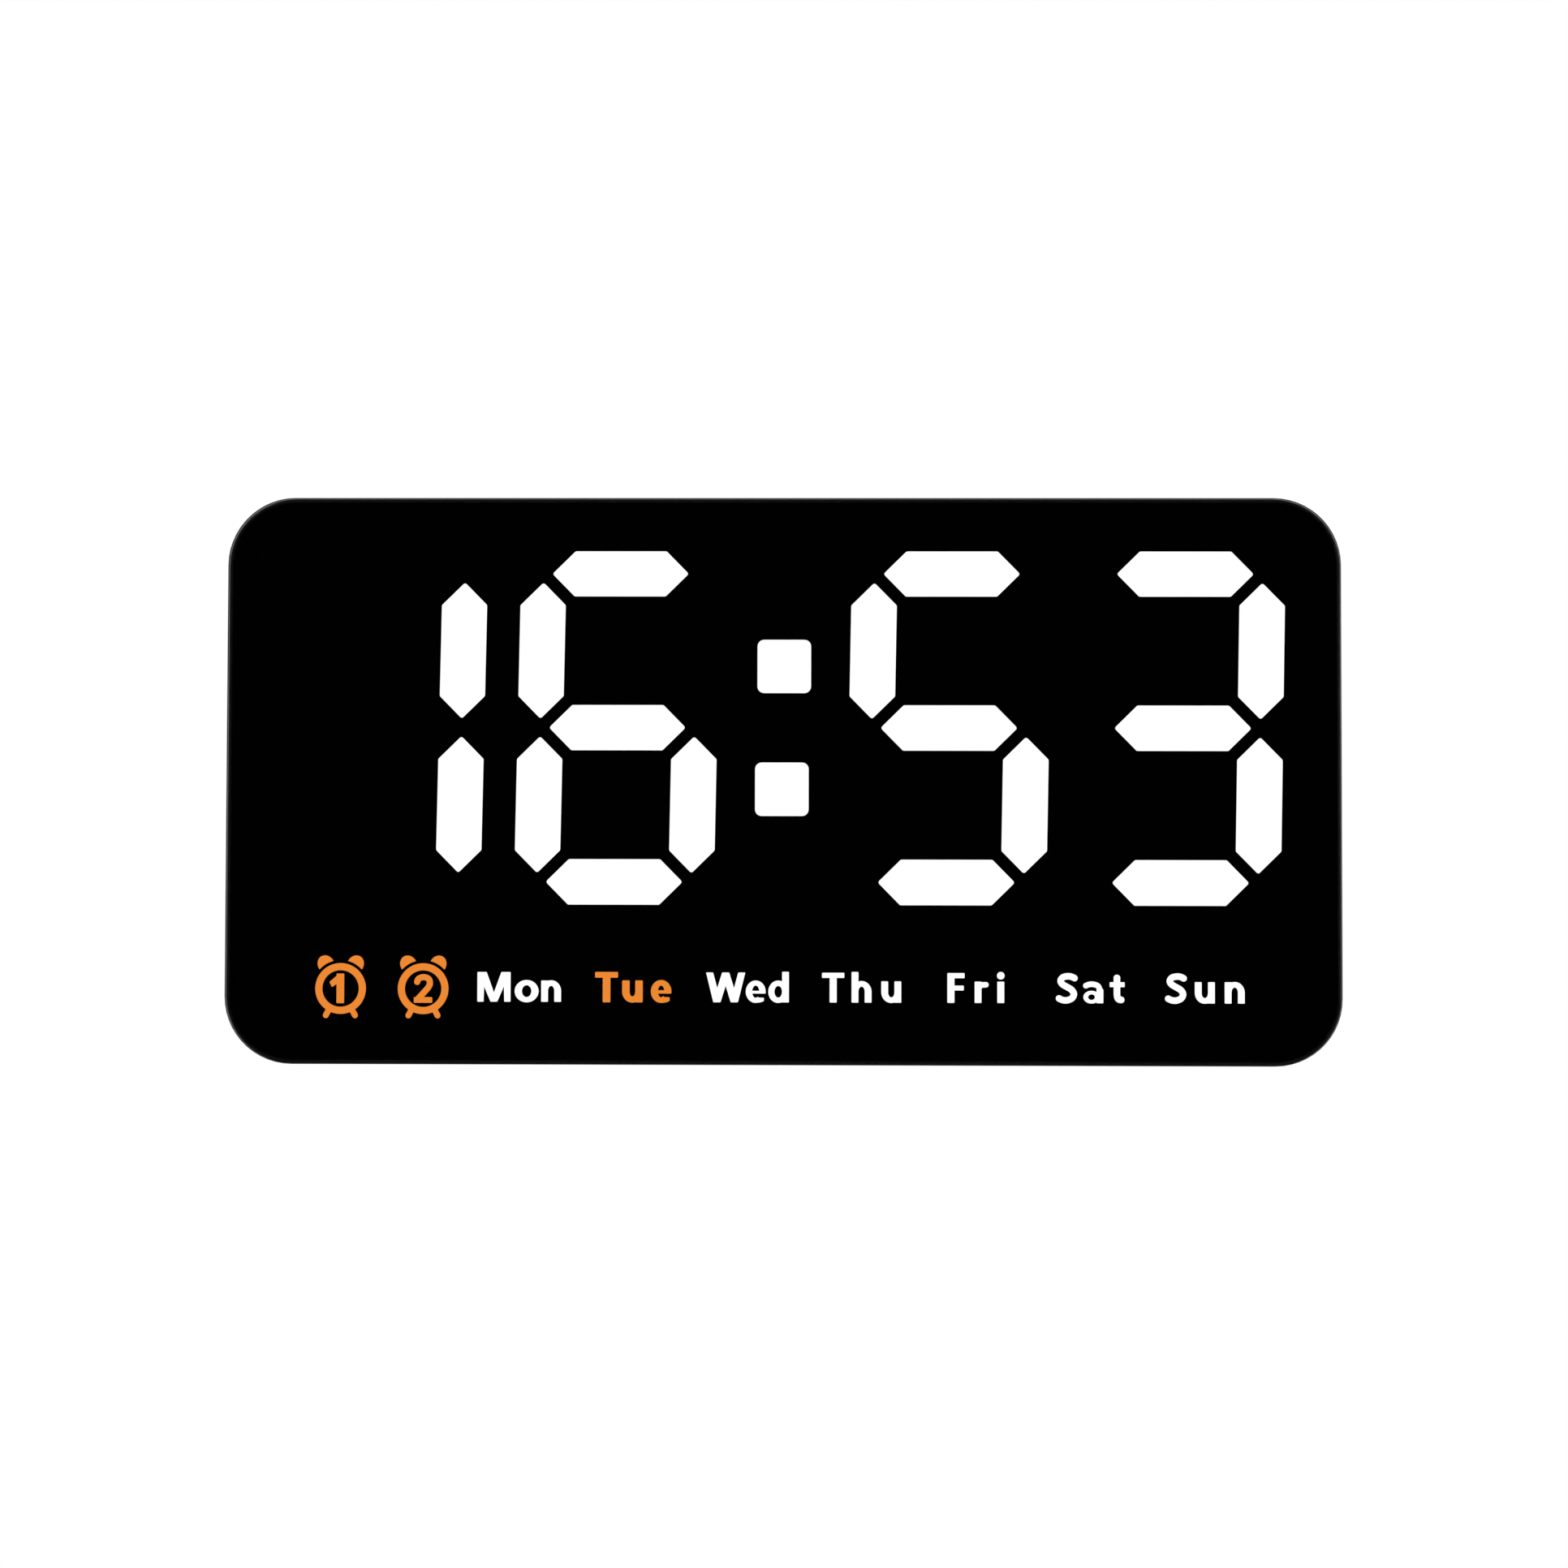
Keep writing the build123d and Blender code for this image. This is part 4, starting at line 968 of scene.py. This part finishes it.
# %% Contacts in the power socket
CONTACTS, CONTACT_PITCH, CONTACT_WIDTH = 12, 0.5, 0.28
CONTACT_START, CONTACT_END, TONGUE_HALF, GILT = 1.5, 4.7, 0.35, 0.02
gilt = plated("gilt_contact", rgba(0.83, 0.58, 0.22), 0.24)
mouth_x, socket_z = TO_MM * socket_low.x, TO_MM * socket_middle.z
left, right = mouth_x + CONTACT_START, mouth_x + CONTACT_END
strips = []
for i in range(CONTACTS):
    z = socket_z + (i - (CONTACTS - 1) / 2) * CONTACT_PITCH
    low, high = z - CONTACT_WIDTH / 2, z + CONTACT_WIDTH / 2
    strips.append([Vector(point) for point in ((left, low), (right, low), (right, high), (left, high))])
tongue_depth = -TO_MM * socket_middle.y
for name, side in (("front_contacts", 1), ("back_contacts", -1)):
    seat = tongue_depth + side * TONGUE_HALF
    thin_piece(name, strips, seat, seat + side * GILT, "clock_case", gilt)

# %% [markdown]
# The stage is a pale floor well below the clock, since a wall clock hangs. For the camera, mirrors and
# glass the floor is mostly paper white, with a share of ordinary matt paint that keeps the clock's soft
# shadow and fades away towards the rim, so no edge shows. For every other ray it is matt paint alone,
# so it adds no light of its own.

# %% Floor
FLOOR_DROP, FLOOR_RADIUS, FLOOR_SIDES, PAPER_SHARE = 0.62, 1.6, 96, 0.6
MATT_PAINT = {"Base Color": rgba(0.9, 0.9, 0.9), "Specular IOR Level": 0.0, "Roughness": 0.9}


def background_rays(net):
    """One for the rays that should see the white background, nought for those that only carry light."""
    path = net.add("ShaderNodeLightPath", output="Is Camera Ray")
    return path | path.other("Is Glossy Ray") | path.other("Is Transmission Ray")


paint = Finish("pale_floor", MATT_PAINT)
at = axes_of(paint)
outward = (at.other("X") * at.other("X") + at.other("Y") * at.other("Y")) / FLOOR_RADIUS**2
share = background_rays(paint) * (PAPER_SHARE + (1 - PAPER_SHARE) * outward)
paper = paint.add("ShaderNodeEmission", None, {"Color": rgba(1, 1, 1), "Strength": 1.0})
matt = Wire(paint, paint.shader.outputs[0])
showing = paint.add("ShaderNodeMixShader", None, {0: share, 1: matt, 2: paper})
paint.fill(paint.tree.nodes["Material Output"], {"Surface": showing})
work = bmesh.new()
bmesh.ops.create_circle(work, cap_ends=True, segments=FLOOR_SIDES, radius=FLOOR_RADIUS)
floor = set_down("floor", mesh_of("floor", work, paint))
floor.location.z = -FLOOR_DROP
floor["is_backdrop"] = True
print("floor", FLOOR_DROP, "metres below the keyholes")

# %% [markdown]
# The room is an even white sky. The camera, mirrors and glass see it at full white, and everything
# else is lit by a softer share of it, which leaves room for lamps that give the shapes their form.

# %% World
WORLD_SHARE = 0.55
world = bpy.data.worlds.new("studio")
bpy.context.scene.world = world
sky = Net(world)
brightness = WORLD_SHARE + (1 - WORLD_SHARE) * background_rays(sky)
sky.fill(sky.tree.nodes["Background"], {"Color": rgba(1, 1, 1), "Strength": brightness})
bpy.context.scene.view_settings.view_transform = "Standard"
print("the sky lights the clock at", WORLD_SHARE)

# %% [markdown]
# A glossy panel mirrors what stands before it, so a product photographer hangs a black card behind the
# camera, and the face turns truly black in the portrait. The card is there for mirror rays alone: it
# takes no light away and shows in no view.

# %% Black card behind the camera
CARD_WIDTH, CARD_HEIGHT, CARD_AWAY = 0.8, 0.6, 0.95
velvet = Finish("black_velvet", {"Base Color": rgba(0, 0, 0), "Specular IOR Level": 0.0})
velvet.surface({"Roughness": 0.9 + 0.1 * speckle(velvet, 4.0)})
work = bmesh.new()
bmesh.ops.create_grid(work, size=0.5)
bmesh.ops.scale(work, vec=(CARD_WIDTH, CARD_HEIGHT, 1), verts=work.verts)
card = set_down("black_card", mesh_of("black_card", work, velvet))
card.location = (0, -CARD_AWAY, 0)
card.rotation_euler.x = radians(90)
card.visible_camera = card.visible_diffuse = card.visible_transmission = card.visible_shadow = False
card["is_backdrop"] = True
print("black card", CARD_AWAY, "metres before the wall")

# %% [markdown]
# Four soft boxes stand well off to the sides. A flat glossy face mirrors whatever stands in front of
# it, so no lamp is placed within forty-five degrees of the camera's line.

# %% Lamps
clock_middle = (Vector(cad_box[0]) + Vector(cad_box[1])) / 2


def soft_box(name, place, size, power):
    """A square lamp at a place counted from the middle of the clock, turned towards it."""
    light = bpy.data.lights.new(name, "AREA")
    light.size, light.energy = size, power
    lamp = set_down(name, light)
    lamp.location = clock_middle + Vector(place)
    lamp.rotation_euler = (-Vector(place)).to_track_quat("-Z", "Y").to_euler()
    print(name, "stands", round(Vector(place).length, 2), "metres away")


soft_box("key_box", (-0.75, -0.5, 0.7), size=0.6, power=4.5)
soft_box("fill_box", (0.95, -0.55, 0.25), size=0.7, power=3.2)
soft_box("back_box_left", (-0.7, 0.75, 0.55), size=0.6, power=4.0)
soft_box("back_box_right", (0.8, 0.7, 0.15), size=0.6, power=2.5)

# %% [markdown]
# The portrait is taken from straight ahead, a touch below and to the right of the middle: the foot of
# the case looks half a percent wider than its top, and its right end a trace taller than its left. A
# long lens at 0.6 metres keeps the sides of the case hidden behind the face. The frame's width at the
# face fixes the focal length.

# %% Camera
from mathutils import Quaternion

DISTANCE, BELOW, ASIDE, ROLL = 0.6, radians(2.7), radians(1.1), radians(0.14)
FRAME_WIDTH, SENSOR = 0.23157, 36.0
AIM_DROP, AIM_RIGHT = 0.00052, 0.0002
face = Vector((AIM_RIGHT, cad_box[0][1], clock_middle.z - AIM_DROP))
camera_data = bpy.data.cameras.new("portrait_lens")
camera_data.sensor_width = SENSOR
camera_data.lens = SENSOR * DISTANCE / FRAME_WIDTH
camera = set_down("portrait_camera", camera_data)
sight = Vector((-sin(ASIDE) * cos(BELOW), cos(ASIDE) * cos(BELOW), sin(BELOW)))
camera.location = face - DISTANCE * sight
level_aim = (face - camera.location).to_track_quat("-Z", "Y")
camera.rotation_euler = (level_aim @ Quaternion((0, 0, 1), ROLL)).to_euler()
bpy.context.scene.camera = camera
print("focal length", round(camera_data.lens, 1), "mm")

# %% [markdown]
# Last, the two boxes are gathered, the imported model's and the dressed one's, and the dressed one is
# printed. They should agree.

sizes = {"cad": cad_box, "visual": [list(corner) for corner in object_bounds()]}
print("dressed box in millimetres:", box_in_mm(sizes["visual"]))
